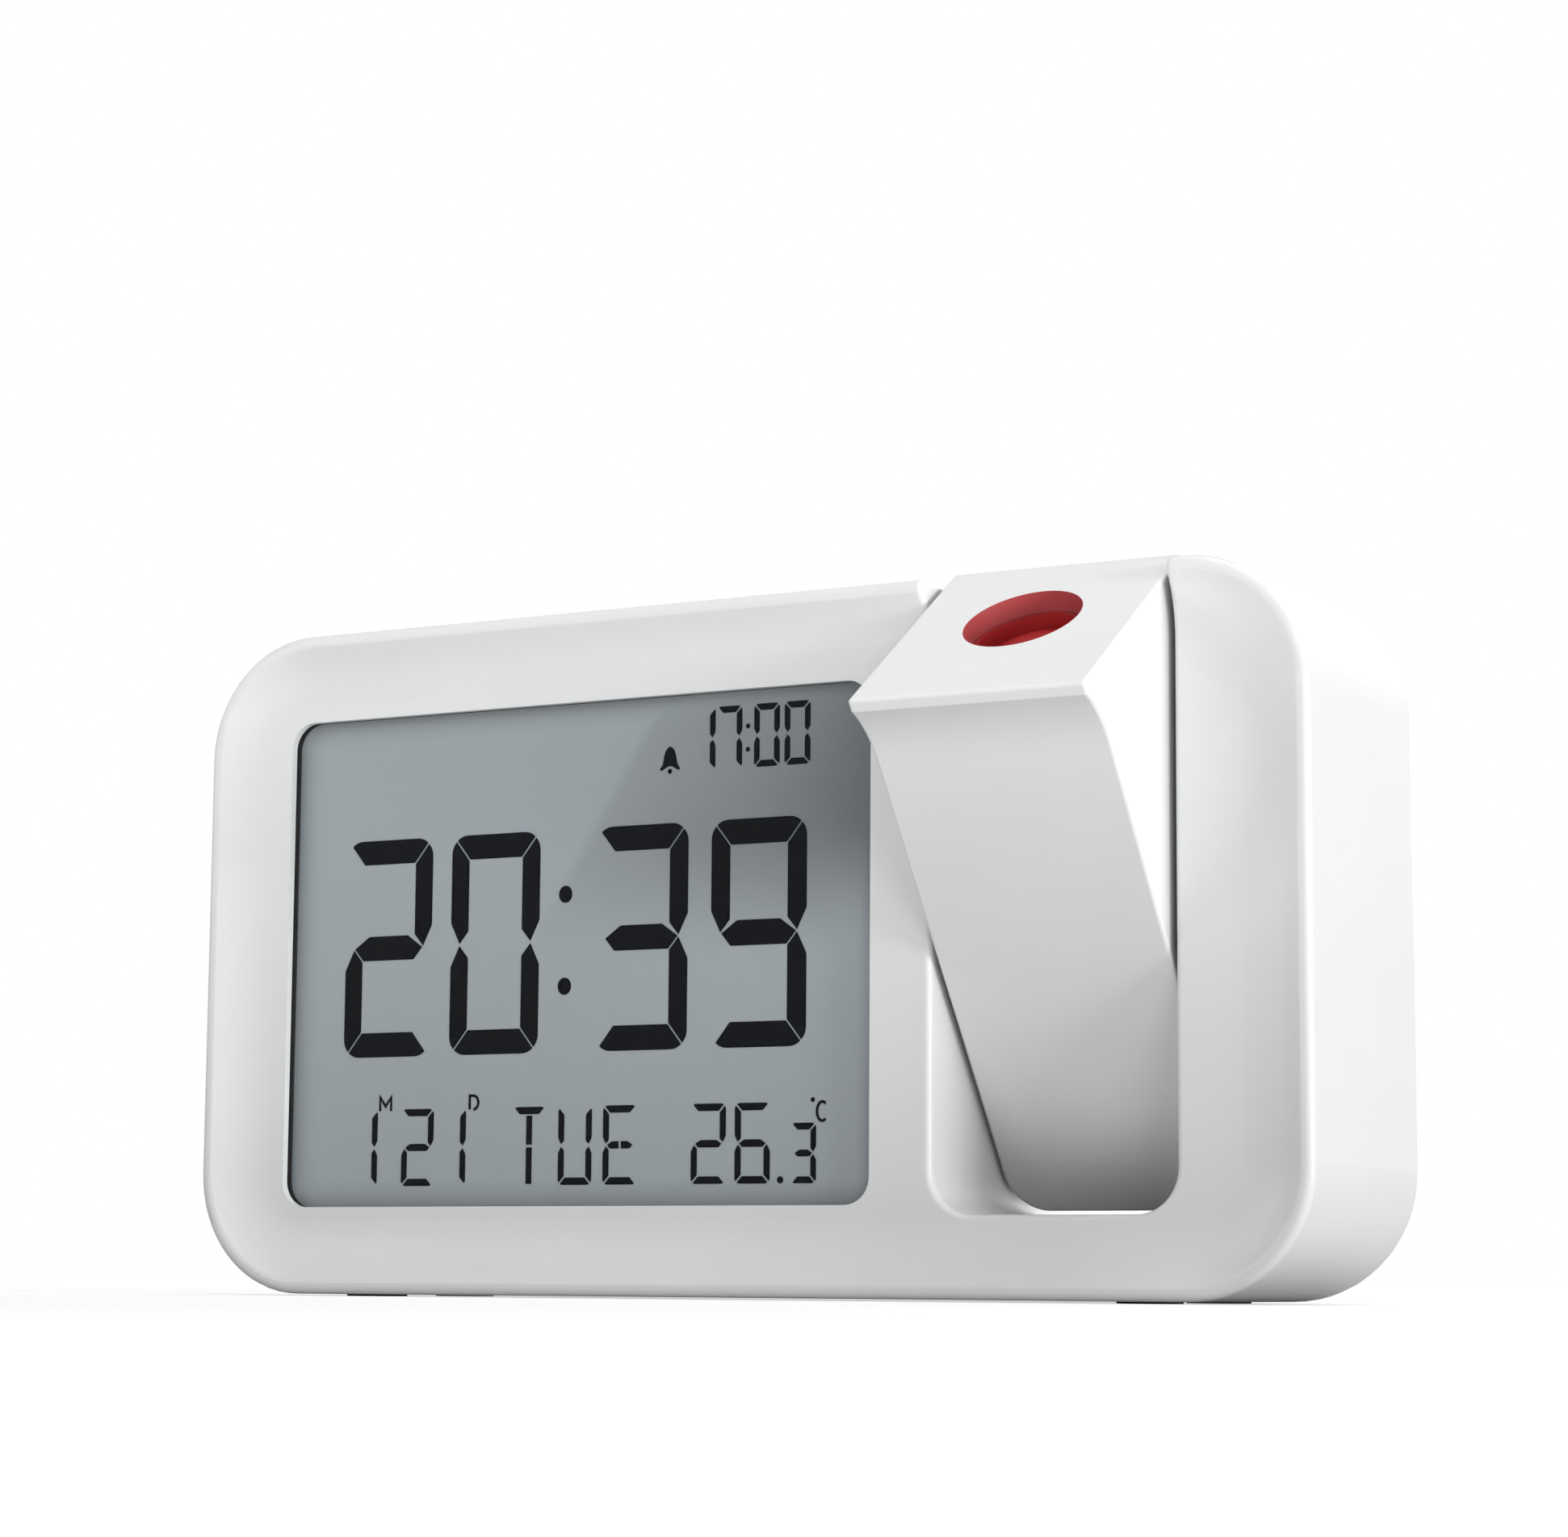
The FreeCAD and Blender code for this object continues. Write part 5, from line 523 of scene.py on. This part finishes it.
class Palette:
    """One material for each finish, made when it is first asked for."""

    def __init__(self) -> None:
        """Make the shared groups and an empty rack of materials."""
        self.groups = SurfaceGroups()
        self.made: dict[str, bpy.types.Material] = {}

    def material(self, name: str, finish: Finish | None = None) -> bpy.types.Material:
        """The material of a finish.

        Args:
            name: the finish's name.
            finish: the finish itself, if it isn't one of the listed ones.

        Returns:
            The material, built on the first call.
        """
        if name not in self.made:
            self.made[name] = self.build(name, finish or FINISHES[name])
        return self.made[name]

    def build(self, name: str, finish: Finish) -> bpy.types.Material:
        """Build one material: pattern masks shift its colour and gloss and lift its surface.

        Args:
            name: the material's name.
            finish: what it looks like.

        Returns:
            The new material.
        """
        material = bpy.data.materials.new(f"finish_{name}")
        bench = cleared(material)
        place = bench.add("ShaderNodeTexCoord").outputs["Object"]
        pattern = self.groups.by_pattern[finish.pattern]
        surface = bench.add("ShaderNodeGroup", {"node_tree": pattern}, Place=place, Size=finish.grain)
        darker = tuple(channel * (1.0 - finish.mottling) for channel in finish.colour)
        colour = bench.mixed(surface.outputs["Shade"], finish.colour, darker)
        colour = self.tinted(bench, finish, place, colour)
        low = finish.roughness * (1.0 - GLOSS_SPREAD)
        high = finish.roughness * (1.0 + GLOSS_SPREAD) + GLOSS_LIFT
        gloss = bench.ranged(surface.outputs["Gloss"], (0.0, 1.0), low, high)
        bump = bench.add(
            "ShaderNodeBump", Strength=1.0, Distance=finish.depth, Height=surface.outputs["Height"]
        )
        shader = bench.add(
            "ShaderNodeBsdfPrincipled",
            Base_Color=colour,
            Roughness=gloss,
            Normal=bump.outputs[0],
            Metallic=finish.metallic,
            IOR=finish.ior,
            Transmission_Weight=finish.transmission,
            Coat_Weight=finish.coat,
            Specular_IOR_Level=finish.shine,
        )
        if finish.glow:
            bench.feed(shader.inputs["Emission Color"], (*finish.colour, 1.0))
            bench.feed(shader.inputs["Emission Strength"], finish.glow)
        self.output(bench, shader.outputs[0], finish)
        return material

    def output(self, bench: NodeBench, surface: Socket, finish: Finish) -> None:
        """Send the shader out, and let the lamps' light through once where the finish is clear.

        Args:
            bench: the bench on the material.
            surface: the shader's socket.
            finish: the finish.
        """
        if finish.transmission >= 1.0:
            path = bench.add("ShaderNodeLightPath").outputs
            lit = bench.mathed("MAXIMUM", path["Is Shadow Ray"], path["Is Diffuse Ray"])
            through = bench.add("ShaderNodeBsdfTransparent").outputs[0]
            surface = bench.add("ShaderNodeMixShader", in_0=lit, in_1=surface, in_2=through).outputs[0]
        bench.add("ShaderNodeOutputMaterial", Surface=surface)

    def tinted(self, bench: NodeBench, finish: Finish, place: Socket, colour: Socket) -> Socket:
        """Lay on the painted light and shade that a finish shows in some places only.

        Args:
            bench: the bench on the material.
            finish: the finish.
            place: the place on the piece.
            colour: the colour so far.

        Returns:
            The colour with the display's painted reflection and shadow, the painted red light inside the lens
            opening and the painted shade of its recesses.
        """
        # The display's painted reflection and painted shadow of the frame.
        if finish.shade:
            colour = bench.mixed(self.painted_shade_mask(bench, place, finish.shade), colour, finish.shade.tint)
        # Painted red light inside the lens opening.
        if finish.lens_red_light:
            opening = bench.add("ShaderNodeGroup", {"node_tree": self.groups.opening}, Place=place)
            colour = bench.mixed(opening.outputs["Mask"], colour, finish.lens_red_light)
        # Painted shade, darker deep in recesses and gaps.
        if finish.recess:
            recess = bench.add("ShaderNodeGroup", {"node_tree": self.groups.recess}, Amount=finish.recess)
            colour = bench.mixed(recess.outputs["Mask"], colour, RECESS_SHADE_TINT)
        return colour

    def painted_shade_mask(self, bench: NodeBench, place: Socket, shade: PaintedDisplayShade) -> Socket:
        """The mask of the display's painted shades: the slanting reflection, or the frame's shadow where
        deeper.

        Args:
            bench: the bench on the material.
            place: the place on the display.
            shade: the painted shades' lines, places and depths.

        Returns:
            The mask's socket.
        """
        axes = bench.add("ShaderNodeSeparateXYZ", in_0=place).outputs
        x, z = axes[0], axes[2]
        across = bench.mathed("SUBTRACT", x, bench.mathed("MULTIPLY", z, shade.slant))
        line = (shade.line - shade.before, shade.line + shade.after)
        past = bench.ranged(across, line, 0.0, 1.0, Blend.SMOOTH)
        depth = bench.ranged(across, (shade.line, shade.line + shade.reach), shade.light, shade.deep)
        height = bench.ranged(z, (shade.foot, shade.head), 0.0, 1.0, Blend.SMOOTH)
        mask = bench.mathed("MULTIPLY", bench.mathed("MULTIPLY", past, depth), height)
        for axis, edge, inward in (
            (x, shade.left, shade.border),
            (z, shade.top, -shade.border),
            (z, shade.low, shade.border),
        ):
            border = bench.ranged(axis, (edge, edge + inward), shade.edge, 0.0, Blend.SMOOTH)
            mask = bench.mathed("MAXIMUM", mask, border)
        return mask


class Clockwork:
    """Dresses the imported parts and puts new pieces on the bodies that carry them."""

    def __init__(self, frame: dict, palette: Palette) -> None:
        """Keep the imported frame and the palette.

        Args:
            palette: the finishes.
        """
        self.frame = frame
        self.palette = palette

    def dress_nodes(self) -> None:
        """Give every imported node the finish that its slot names."""
        for name, node in sorted(self.frame["nodes"].items()):
            for slot in node.material_slots:
                slot.material = self.palette.material(slot.material.name.split(".")[0])
            LOG.info("dressed %s", name)

    def place(
        self, piece: bpy.types.Object, body: str, slot: str, finish: str, own: Finish | None = None
    ) -> None:
        """Finish a new piece and let it ride on its body.

        Args:
            piece: the new piece.
            body: the body that carries it.
            slot: the record's material slot; not used.
            finish: the name of its finish.
            own: the finish, where it isn't a listed one.
        """
        piece.data.materials.append(self.palette.material(finish, own))
        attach(piece, body)
        LOG.info("placed %s on %s", piece.name, body)


def mesh_object(name: str, points: np.ndarray, faces: list[tuple[int, ...]]) -> bpy.types.Object:
    """Make a mesh object at the origin.

    Args:
        name: the piece's name.
        points: its vertices in metres, one row each.
        faces: its faces, as indices of the vertices.

    Returns:
        The new object.
    """
    mesh = bpy.data.meshes.new(name)
    mesh.from_pydata(points.tolist(), [], faces)
    mesh.validate()
    mesh.update()
    piece = bpy.data.objects.new(name, mesh)
    bpy.context.scene.collection.objects.link(piece)
    return piece


def plates(name: str, outlines: list[np.ndarray], front: float, back: float) -> bpy.types.Object:
    """Cut flat plates that face the front.

    Each plate is its outline at the front depth, the same outline at the back depth, and a wall between them.

    Args:
        name: the piece's name.
        outlines: closed outlines as X and Z in millimetres, anticlockwise as seen from the front.
        front: the front depth in millimetres.
        back: the back depth in millimetres.

    Returns:
        One object with every plate.
    """
    points: list[np.ndarray] = []
    faces: list[tuple[int, ...]] = []
    start = 0
    for outline in outlines:
        count = len(outline)
        ring = np.arange(count)
        for depth in (front, back):
            points.append(np.column_stack((outline[:, 0], np.full(count, depth), outline[:, 1])) * MM)
        following = np.roll(ring, -1)
        walls = np.column_stack((ring, ring + count, following + count, following)) + start
        faces.append(tuple((ring + start).tolist()))
        faces.append(tuple((ring[::-1] + count + start).tolist()))
        faces.extend(map(tuple, walls.tolist()))
        start += 2 * count
    return mesh_object(name, np.vstack(points), faces)


class End(Enum):
    """How a bar of a digit ends."""

    CORNER = "mitred round an outer corner"
    TIP = "pointed where three bars meet"
    SQUARE = "cut square"


@dataclass(frozen=True)
class Cell:
    """The room of one digit, in millimetres: its size, its bars, its outer corners and the bars' gap."""

    width: float
    height: float
    upright: float
    level: float
    corner: float
    gap: float


CORNER_TURNS: Span = (135.0, 90.0)
CORNER_POINTS = 5
TIP_INNER = 0.5
TIP_OUTER = 0.85
MITRE_LIMIT = 0.4
DOT_POINTS = 28


BARS: dict[str, tuple[str, ...]] = {
    "0": ("top", "upper_right", "lower_right", "bottom", "lower_left", "upper_left"),
    "1": ("upper_right", "lower_right"),
    "2": ("top", "upper_right", "middle", "lower_left", "bottom"),
    "3": ("top", "upper_right", "middle", "lower_right", "bottom"),
    "6": ("top", "upper_left", "middle", "lower_left", "lower_right", "bottom"),
    "7": ("top", "upper_right", "lower_right"),
    "9": ("top", "upper_right", "middle", "lower_right", "bottom", "upper_left"),
    "T": ("top", "upper_stem", "lower_stem"),
    "U": ("upper_right", "lower_right", "bottom", "lower_left", "upper_left"),
    "E": ("top", "upper_left", "lower_left", "bottom", "middle_left", "middle_right"),
}


def bar_outline(
    length: float, thick: float, ends: tuple[End, End], reach: float, corner: float, gap: float
) -> np.ndarray:
    """The outline of one bar of a digit.

    The bar lies along the first axis from 0 to its length, with its outer side at plus half its thickness. A
    mitred end runs from the inner corner, half the crossing bar's width in, to the middle of an arc round the
    outer corner. A pointed end is a wedge whose flanks are shares of the crossing bar's width, the outer one
    longer than the inner one.

    Args:
        length: from node to node.
        thick: the bar's thickness.
        ends: how it starts and ends.
        reach: the thickness of the bars that it meets.
        corner: the outer corner's radius.
        gap: the gap between bars.

    Returns:
        The outline, from the start's inner side round by the outer side to the end's inner side.
    """
    half, shift = thick / 2, gap / 2
    if End.CORNER in ends:
        arc = bow((-reach / 2 + corner, half - corner), (corner, corner), CORNER_TURNS, CORNER_POINTS)
        arc[:, 0] += shift
        arc[:, 0] = np.maximum(arc[:, 0], arc[0, 0])
    inner, outer = reach * TIP_INNER + shift, reach * TIP_OUTER + shift
    shapes = {
        End.TIP: np.array([[inner, -half], [shift, 0.0], [outer, half]]),
        End.SQUARE: np.array([[shift, -half], [shift, half]]),
    }
    sides = []
    for end in ends:
        if end is End.CORNER:
            sides.append(np.vstack(([[reach / 2 + shift, -half]], arc)))
        else:
            sides.append(shapes[end])
    finish = sides[1][::-1] * (-1.0, 1.0) + (length, 0.0)
    return np.vstack((sides[0], finish))


class DigitDrawer:
    """Draws digits and letters from bars."""

    def __init__(self, cell: Cell) -> None:
        """Work out where each bar of the cell runs.

        Args:
            cell: the digit's room.
        """
        self.cell = cell
        left, right = cell.upright / 2, cell.width - cell.upright / 2
        low, middle, high = cell.level / 2, cell.height / 2, cell.height - cell.level / 2
        centre = cell.width / 2
        corner, tip, square = End.CORNER, End.TIP, End.SQUARE
        self.runs = {
            "top": ((left, high), (right, high), (corner, corner)),
            "upper_right": ((right, high), (right, middle), (corner, tip)),
            "lower_right": ((right, middle), (right, low), (tip, corner)),
            "bottom": ((right, low), (left, low), (corner, corner)),
            "lower_left": ((left, low), (left, middle), (corner, tip)),
            "upper_left": ((left, middle), (left, high), (tip, corner)),
            "middle": ((left, middle), (right, middle), (tip, tip)),
            "middle_left": ((left, middle), (centre, middle), (tip, square)),
            "middle_right": ((centre, middle), (right, middle), (square, tip)),
            "upper_stem": ((centre, high - cell.level / 2), (centre, middle), (square, square)),
            "lower_stem": ((centre, middle), (centre, low - cell.level / 2), (square, square)),
        }

    def draw(self, sign: str, x: float, z: float) -> list[np.ndarray]:
        """The outlines of one digit or letter.

        Args:
            sign: the digit or letter.
            x: the left of its cell.
            z: the foot of its cell.

        Returns:
            One outline for each bar.
        """
        cell = self.cell
        outlines = []
        for name in BARS[sign]:
            start, end, ends = self.runs[name]
            start, end = np.array(start), np.array(end)
            length = np.linalg.norm(end - start)
            along = (end - start) / length
            outward = np.array((-along[1], along[0]))
            level = abs(along[0]) > abs(along[1])
            thick, reach = (cell.level, cell.upright) if level else (cell.upright, cell.level)
            local = bar_outline(length, thick, ends, reach, cell.corner, cell.gap)
            placed = start + local[:, :1] * along + local[:, 1:] * outward + (x, z)
            outlines.append(facing_front(placed))
        return outlines


def facing_front(outline: np.ndarray) -> np.ndarray:
    """Turn an outline round if it runs clockwise as seen from the front.

    The signed area is half the sum of the cross products of each point with the next.

    Args:
        outline: the closed outline as X and Z.

    Returns:
        The outline, running anticlockwise.
    """
    following = np.roll(outline, -1, axis=0)
    area = np.sum(outline[:, 0] * following[:, 1] - following[:, 0] * outline[:, 1]) / 2
    return outline if area > 0 else outline[::-1]


def ribbon(path: np.ndarray, width: float) -> np.ndarray:
    """A stroke of even width along a path.

    Each point is moved to both sides along the mean normal of the two runs that meet there, by half the width
    over the cosine of half their turn.

    Args:
        path: the stroke's middle line as X and Z.
        width: the stroke's width.

    Returns:
        The stroke's closed outline.
    """
    runs = np.diff(path, axis=0)
    runs /= np.linalg.norm(runs, axis=1, keepdims=True)
    normals = np.column_stack((-runs[:, 1], runs[:, 0]))
    before = np.vstack((normals[:1], normals))
    after = np.vstack((normals, normals[-1:]))
    mean = before + after
    mean /= np.linalg.norm(mean, axis=1, keepdims=True)
    spread = width / 2 / np.clip(np.sum(mean * after, axis=1, keepdims=True), MITRE_LIMIT, 1.0)
    return facing_front(np.vstack((path + mean * spread, (path - mean * spread)[::-1])))


def disc(x: float, z: float, radius: float, flatten: float = 1.0) -> np.ndarray:
    """A round dot: points at even turns about its centre.

    Args:
        x: the centre's X.
        z: the centre's Z.
        radius: the dot's radius.
        flatten: height over width.

    Returns:
        The dot's outline.
    """
    turns = np.linspace(0.0, 2 * np.pi, DOT_POINTS, endpoint=False)
    return np.column_stack((x + radius * np.cos(turns), z + radius * flatten * np.sin(turns)))


def bow(centre: Span, radii: Span, ends: Span, count: int) -> np.ndarray:
    """Part of an ellipse: points at even turns about its centre.

    Args:
        centre: the centre's X and Z.
        radii: half its width and half its height.
        ends: the turns of its first and last point, in degrees from the right and up.
        count: how many points it has.

    Returns:
        The points.
    """
    turns = np.radians(np.linspace(*ends, count))
    return np.column_stack((centre[0] + radii[0] * np.cos(turns), centre[1] + radii[1] * np.sin(turns)))


@dataclass(frozen=True)
class Bell:
    """The alarm's bell, in millimetres: its place, its dome and flare, its hollow foot and its clapper."""

    x: float = -9.45
    crown: float = 70.38
    height: float = 2.8
    dome: float = 1.0
    roundness: float = 0.6
    flare: float = 0.5
    sharpness: int = 7
    rim: float = 1.42
    lip: float = 0.3
    hollow: float = 0.55
    clapper: float = 0.33
    drop: float = 0.42
    side_points: int = 15
    foot_points: int = 8

    def outlines(self) -> list[np.ndarray]:
        """The bell's body and its clapper.

        The dome's half width is one minus the cube of the height above the foot, to the power of its
        roundness. The flare grows with the depth to the power of its sharpness. The foot rises from the rim
        to the hollow as the square of a cosine.

        Returns:
            The outlines.
        """
        down = np.linspace(0.0, 1.0, self.side_points)
        half = self.dome * (1.0 - (1.0 - down) ** 3) ** self.roundness + self.flare * down**self.sharpness
        side = np.column_stack((half, self.crown - self.height * down))
        inward = np.linspace(self.rim, 0.0, self.foot_points)
        rise = self.hollow * np.cos(np.pi * inward / self.rim / 2) ** 2
        foot = np.column_stack((inward, self.crown - self.height - self.lip + rise))
        right = np.vstack((side, foot))
        left = right[-2:0:-1] * (-1.0, 1.0)
        body = np.vstack((right, left)) + (self.x, 0.0)
        return [facing_front(body), disc(self.x, self.crown - self.height - self.drop, self.clapper)]


@dataclass
class Display:
    """The marks of the display, on the front of its glass, in millimetres.

    A row is its signs and their left sides. A dot is its centre, its radius and, where it isn't round, its
    height over its width. A bowl is a centre, two radii and two ends in degrees.
    """

    front: float = -13.34
    back: float = -13.305
    big: Cell = Cell(13.9, 29.0, 2.75, 3.25, 2.3, 0.26)
    small: Cell = Cell(3.75, 8.1, 0.82, 0.86, 0.5, 0.3)
    lower: Cell = Cell(5.1, 10.1, 0.9, 0.95, 0.55, 0.34)
    tenth: Cell = Cell(3.6, 7.5, 0.8, 0.86, 0.5, 0.3)
    ink: Finish = Finish((0.003, 0.0035, 0.005), 0.5, Pattern.POLISHED, 0.002, 0.000001, 0.1, shine=0.02)
    time: Row = (("2", -60.0), ("0", -43.0), ("3", -20.45), ("9", -3.1))
    time_foot: float = 31.45
    time_dots: tuple[tuple[float, ...], ...] = ((-25.1, 51.97, 1.02, 1.1), (-25.1, 40.0, 1.02, 1.1))
    alarm: Row = (("1", -6.45), ("7", -2.5), ("0", 3.0), ("0", 7.45))
    alarm_foot: float = 66.95
    alarm_dots: tuple[Point, ...] = ((2.1, 72.3, 0.32), (2.1, 69.3, 0.32))
    date: Row = (("1", -59.3), ("2", -50.3), ("1", -45.2), ("2", -5.75), ("6", 0.65))
    weekday: Row = (("T", -32.75), ("U", -25.7), ("E", -18.9))
    tenths: Row = (("3", 8.75),)
    date_foot: float = 14.4
    decimal_point: Point = (7.25, 14.85, 0.45)
    stroke: float = 0.36
    month_letter: tuple[Span, ...] = (
        (-53.85, 24.3), (-53.85, 26.1), (-52.98, 24.9), (-52.1, 26.1), (-52.1, 24.3)
    )
    day_stem: tuple[Span, Span] = ((-39.55, 24.3), (-39.55, 26.1))
    day_bowl: tuple[Span, Span, Span] = ((-38.95, 25.2), (0.75, 0.9), (90.0, -90.0))
    degree_bowl: tuple[Span, Span, Span] = ((13.2, 23.3), (0.75, 1.2), (50.0, 310.0))
    degree_dot: Point = (11.85, 24.75, 0.3)
    day_points: int = 9
    degree_points: int = 13

    def row(self, cell: Cell, signs: Row, foot: float) -> list[np.ndarray]:
        """One row of digits or letters.

        Args:
            cell: the room of each sign.
            signs: the signs and their left sides.
            foot: the row's foot.

        Returns:
            The outlines.
        """
        drawer = DigitDrawer(cell)
        return [outline for sign, x in signs for outline in drawer.draw(sign, x, foot)]

    def time_row(self) -> list[np.ndarray]:
        """The outlines of the large hours and minutes, with the two dots between them."""
        return self.row(self.big, self.time, self.time_foot) + [disc(*dot) for dot in self.time_dots]

    def alarm_row(self) -> list[np.ndarray]:
        """The outlines of the alarm time at the upper right."""
        return self.row(self.small, self.alarm, self.alarm_foot) + [disc(*dot) for dot in self.alarm_dots]

    def date_row(self) -> list[np.ndarray]:
        """The month, the day, the weekday and the temperature along the foot.

        Returns:
            The outlines.
        """
        outlines = self.row(self.lower, self.date + self.weekday, self.date_foot)
        outlines += self.row(self.tenth, self.tenths, self.date_foot)
        return outlines + [disc(*self.decimal_point)]

    def unit_marks(self) -> list[np.ndarray]:
        """The small letters by the date and the sign of the temperature's unit.

        Returns:
            The outlines.
        """
        strokes = (
            np.array(self.month_letter),
            np.vstack((self.day_stem, bow(*self.day_bowl, self.day_points))),
            bow(*self.degree_bowl, self.degree_points),
        )
        return [ribbon(path, self.stroke) for path in strokes] + [disc(*self.degree_dot)]

    def build(self, clock: Clockwork) -> None:
        """Cut every row as one piece and put it on the display.

        Args:
            clock: where the pieces go.
        """
        rows = {
            "display_time": self.time_row(),
            "display_alarm_time": self.alarm_row(),
            "display_date_and_temperature": self.date_row(),
            "display_unit_marks": self.unit_marks(),
            "display_bell": Bell().outlines(),
        }
        for name, outlines in rows.items():
            piece = plates(name, outlines, self.front, self.back)
            clock.place(piece, "case", "lcd_glass", "display_ink", self.ink)


@dataclass(frozen=True)
class Lamp:
    """A soft box lamp: where it hangs, what it points at and its size, in metres, and its power in watts."""

    name: str
    place: Point
    aim: Point
    size: Span
    power: float


CLOCK_MIDDLE: Point = (0.0, 0.0, 0.05)
LAMPS: tuple[Lamp, ...] = (
    Lamp("top_box", (0.1, -0.1, 1.3), CLOCK_MIDDLE, (0.9, 0.9), 8.2),
    Lamp("right_front_box", (0.95, -1.0, 0.3), CLOCK_MIDDLE, (0.5, 0.5), 3.7),
    Lamp("right_low_box", (1.2, -0.25, 0.12), CLOCK_MIDDLE, (0.5, 0.2), 8.7),
    Lamp("left_box", (-1.0, -0.8, 0.45), CLOCK_MIDDLE, (0.6, 0.6), 3.2),
    Lamp("table_card", (0.1, -0.5, 0.004), (0.1, -0.5, 1.0), (0.9, 0.55), 4.4),
    Lamp("back_box", (-0.1, 1.3, 0.5), CLOCK_MIDDLE, (0.6, 0.6), 6.0),
)


@dataclass
class Studio:
    """The pale floor, the white surround, the soft lamps and the camera.

    The lens and the sensor are in millimetres, angles in degrees and places in metres. The floor's own white
    grows from its near value to 1 over its span of distances from the clock.
    """

    lens: float = 87.98
    sensor: float = 36.0
    clip: Span = (0.01, 20.0)
    yaw: float = 29.644
    pitch: float = 7.597
    roll: float = 0.406
    eye: Vector = field(default_factory=lambda: Vector((244.614, -430.321, 2.55)) * MM)
    surround: float = 0.12
    floor_reach: float = 3.0
    floor_points: int = 13
    paper: Colour = (0.52, 0.52, 0.52)
    paper_roughness: float = 0.9
    paper_shine: float = 0.1
    paper_grain: float = 900.0
    paper_depth: float = 0.00002
    white_span: Span = (0.25, 0.9)
    near_white: float = 0.55

    def camera(self) -> None:
        """Stand the camera where the picture was taken from."""
        yaw, pitch, roll = (math.radians(angle) for angle in (self.yaw, self.pitch, self.roll))
        ahead = Vector((-math.sin(yaw) * math.cos(pitch), math.cos(yaw) * math.cos(pitch), math.sin(pitch)))
        right = Vector((math.cos(yaw), math.sin(yaw), 0.0))
        up = right.cross(ahead)
        turned_right = math.cos(roll) * right + math.sin(roll) * up
        turned_up = -math.sin(roll) * right + math.cos(roll) * up
        data = bpy.data.cameras.new("camera")
        data.lens = self.lens
        data.sensor_width = self.sensor
        data.clip_start, data.clip_end = self.clip
        camera = bpy.data.objects.new("camera", data)
        bpy.context.scene.collection.objects.link(camera)
        axes = Matrix((turned_right, turned_up, -ahead)).transposed().to_4x4()
        camera.matrix_world = Matrix.Translation(self.eye) @ axes
        bpy.context.scene.camera = camera

    def world(self) -> None:
        """Light the scene evenly, and show white to the camera, to gloss and through glass."""
        world = bpy.data.worlds.new("surround")
        bench = cleared(world)
        path = bench.add("ShaderNodeLightPath").outputs
        seen = bench.mathed("MAXIMUM", path["Is Camera Ray"], path["Is Glossy Ray"])
        seen = bench.mathed("MAXIMUM", seen, path["Is Transmission Ray"])
        strength = bench.ranged(seen, (0.0, 1.0), self.surround, 1.0)
        light = bench.add("ShaderNodeBackground", Color=(1.0, 1.0, 1.0, 1.0), Strength=strength)
        bench.add("ShaderNodeOutputWorld", Surface=light.outputs[0])
        bpy.context.scene.world = world

    def floor(self) -> None:
        """Lay a pale floor that keeps the clock's shadow: a square grid of points at height zero."""
        steps = np.linspace(-self.floor_reach, self.floor_reach, self.floor_points)
        across, deep = np.meshgrid(steps, steps)
        points = np.column_stack((across.ravel(), deep.ravel(), np.zeros(across.size)))
        index = np.arange(across.size).reshape(across.shape)
        corners = (index[:-1, :-1], index[:-1, 1:], index[1:, 1:], index[1:, :-1])
        faces = np.column_stack([corner.ravel() for corner in corners])
        floor = mesh_object("floor", points, [tuple(face) for face in faces.tolist()])
        material = bpy.data.materials.new("floor_paper")
        bench = cleared(material)
        place = bench.add("ShaderNodeTexCoord").outputs["Object"]
        paper = bench.add("ShaderNodeTexNoise", Vector=place, Scale=self.paper_grain)
        bump = bench.add("ShaderNodeBump", Distance=self.paper_depth, Height=paper.outputs[0])
        path = bench.add("ShaderNodeLightPath").outputs
        seen = bench.mathed("MAXIMUM", path["Is Camera Ray"], path["Is Transmission Ray"])
        away = bench.add("ShaderNodeVectorMath", {"operation": "LENGTH"}, in_0=place).outputs["Value"]
        white = bench.ranged(away, self.white_span, self.near_white, 1.0)
        shader = bench.add(
            "ShaderNodeBsdfPrincipled",
            Base_Color=(*self.paper, 1.0),
            Roughness=self.paper_roughness,
            Specular_IOR_Level=self.paper_shine,
            Normal=bump.outputs[0],
            Emission_Color=(1.0, 1.0, 1.0, 1.0),
            Emission_Strength=bench.mathed("MULTIPLY", seen, white),
        )
        bench.add("ShaderNodeOutputMaterial", Surface=shader.outputs[0])
        floor.data.materials.append(material)

    def lamp(self, lamp: Lamp) -> None:
        """Hang a soft box lamp that the camera doesn't see.

        Args:
            lamp: its name, place, aim, size and power.
        """
        data = bpy.data.lights.new(lamp.name, "AREA")
        data.shape = "RECTANGLE"
        data.size, data.size_y = lamp.size
        data.energy = lamp.power
        box = bpy.data.objects.new(lamp.name, data)
        bpy.context.scene.collection.objects.link(box)
        box.location = lamp.place
        box.rotation_euler = (Vector(lamp.aim) - Vector(lamp.place)).to_track_quat("-Z", "Y").to_euler()
        box.visible_camera = False
        LOG.info("hung %s", lamp.name)

    def build(self) -> None:
        """Set up the floor, the surround, the lamps, the camera and the view."""
        self.floor()
        self.world()
        for lamp in LAMPS:
            self.lamp(lamp)
        self.camera()
        bpy.context.scene.view_settings.view_transform = "Standard"


def main() -> None:
    """Load the frame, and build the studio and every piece."""
    logging.basicConfig(level=logging.INFO, format="%(message)s")
    for leftover in list(bpy.data.objects):
        bpy.data.objects.remove(leftover)
    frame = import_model()
    Studio().build()
    clock = Clockwork(frame, Palette())
    clock.dress_nodes()
    Display().build(clock)


if __name__ == "__main__":
    main()
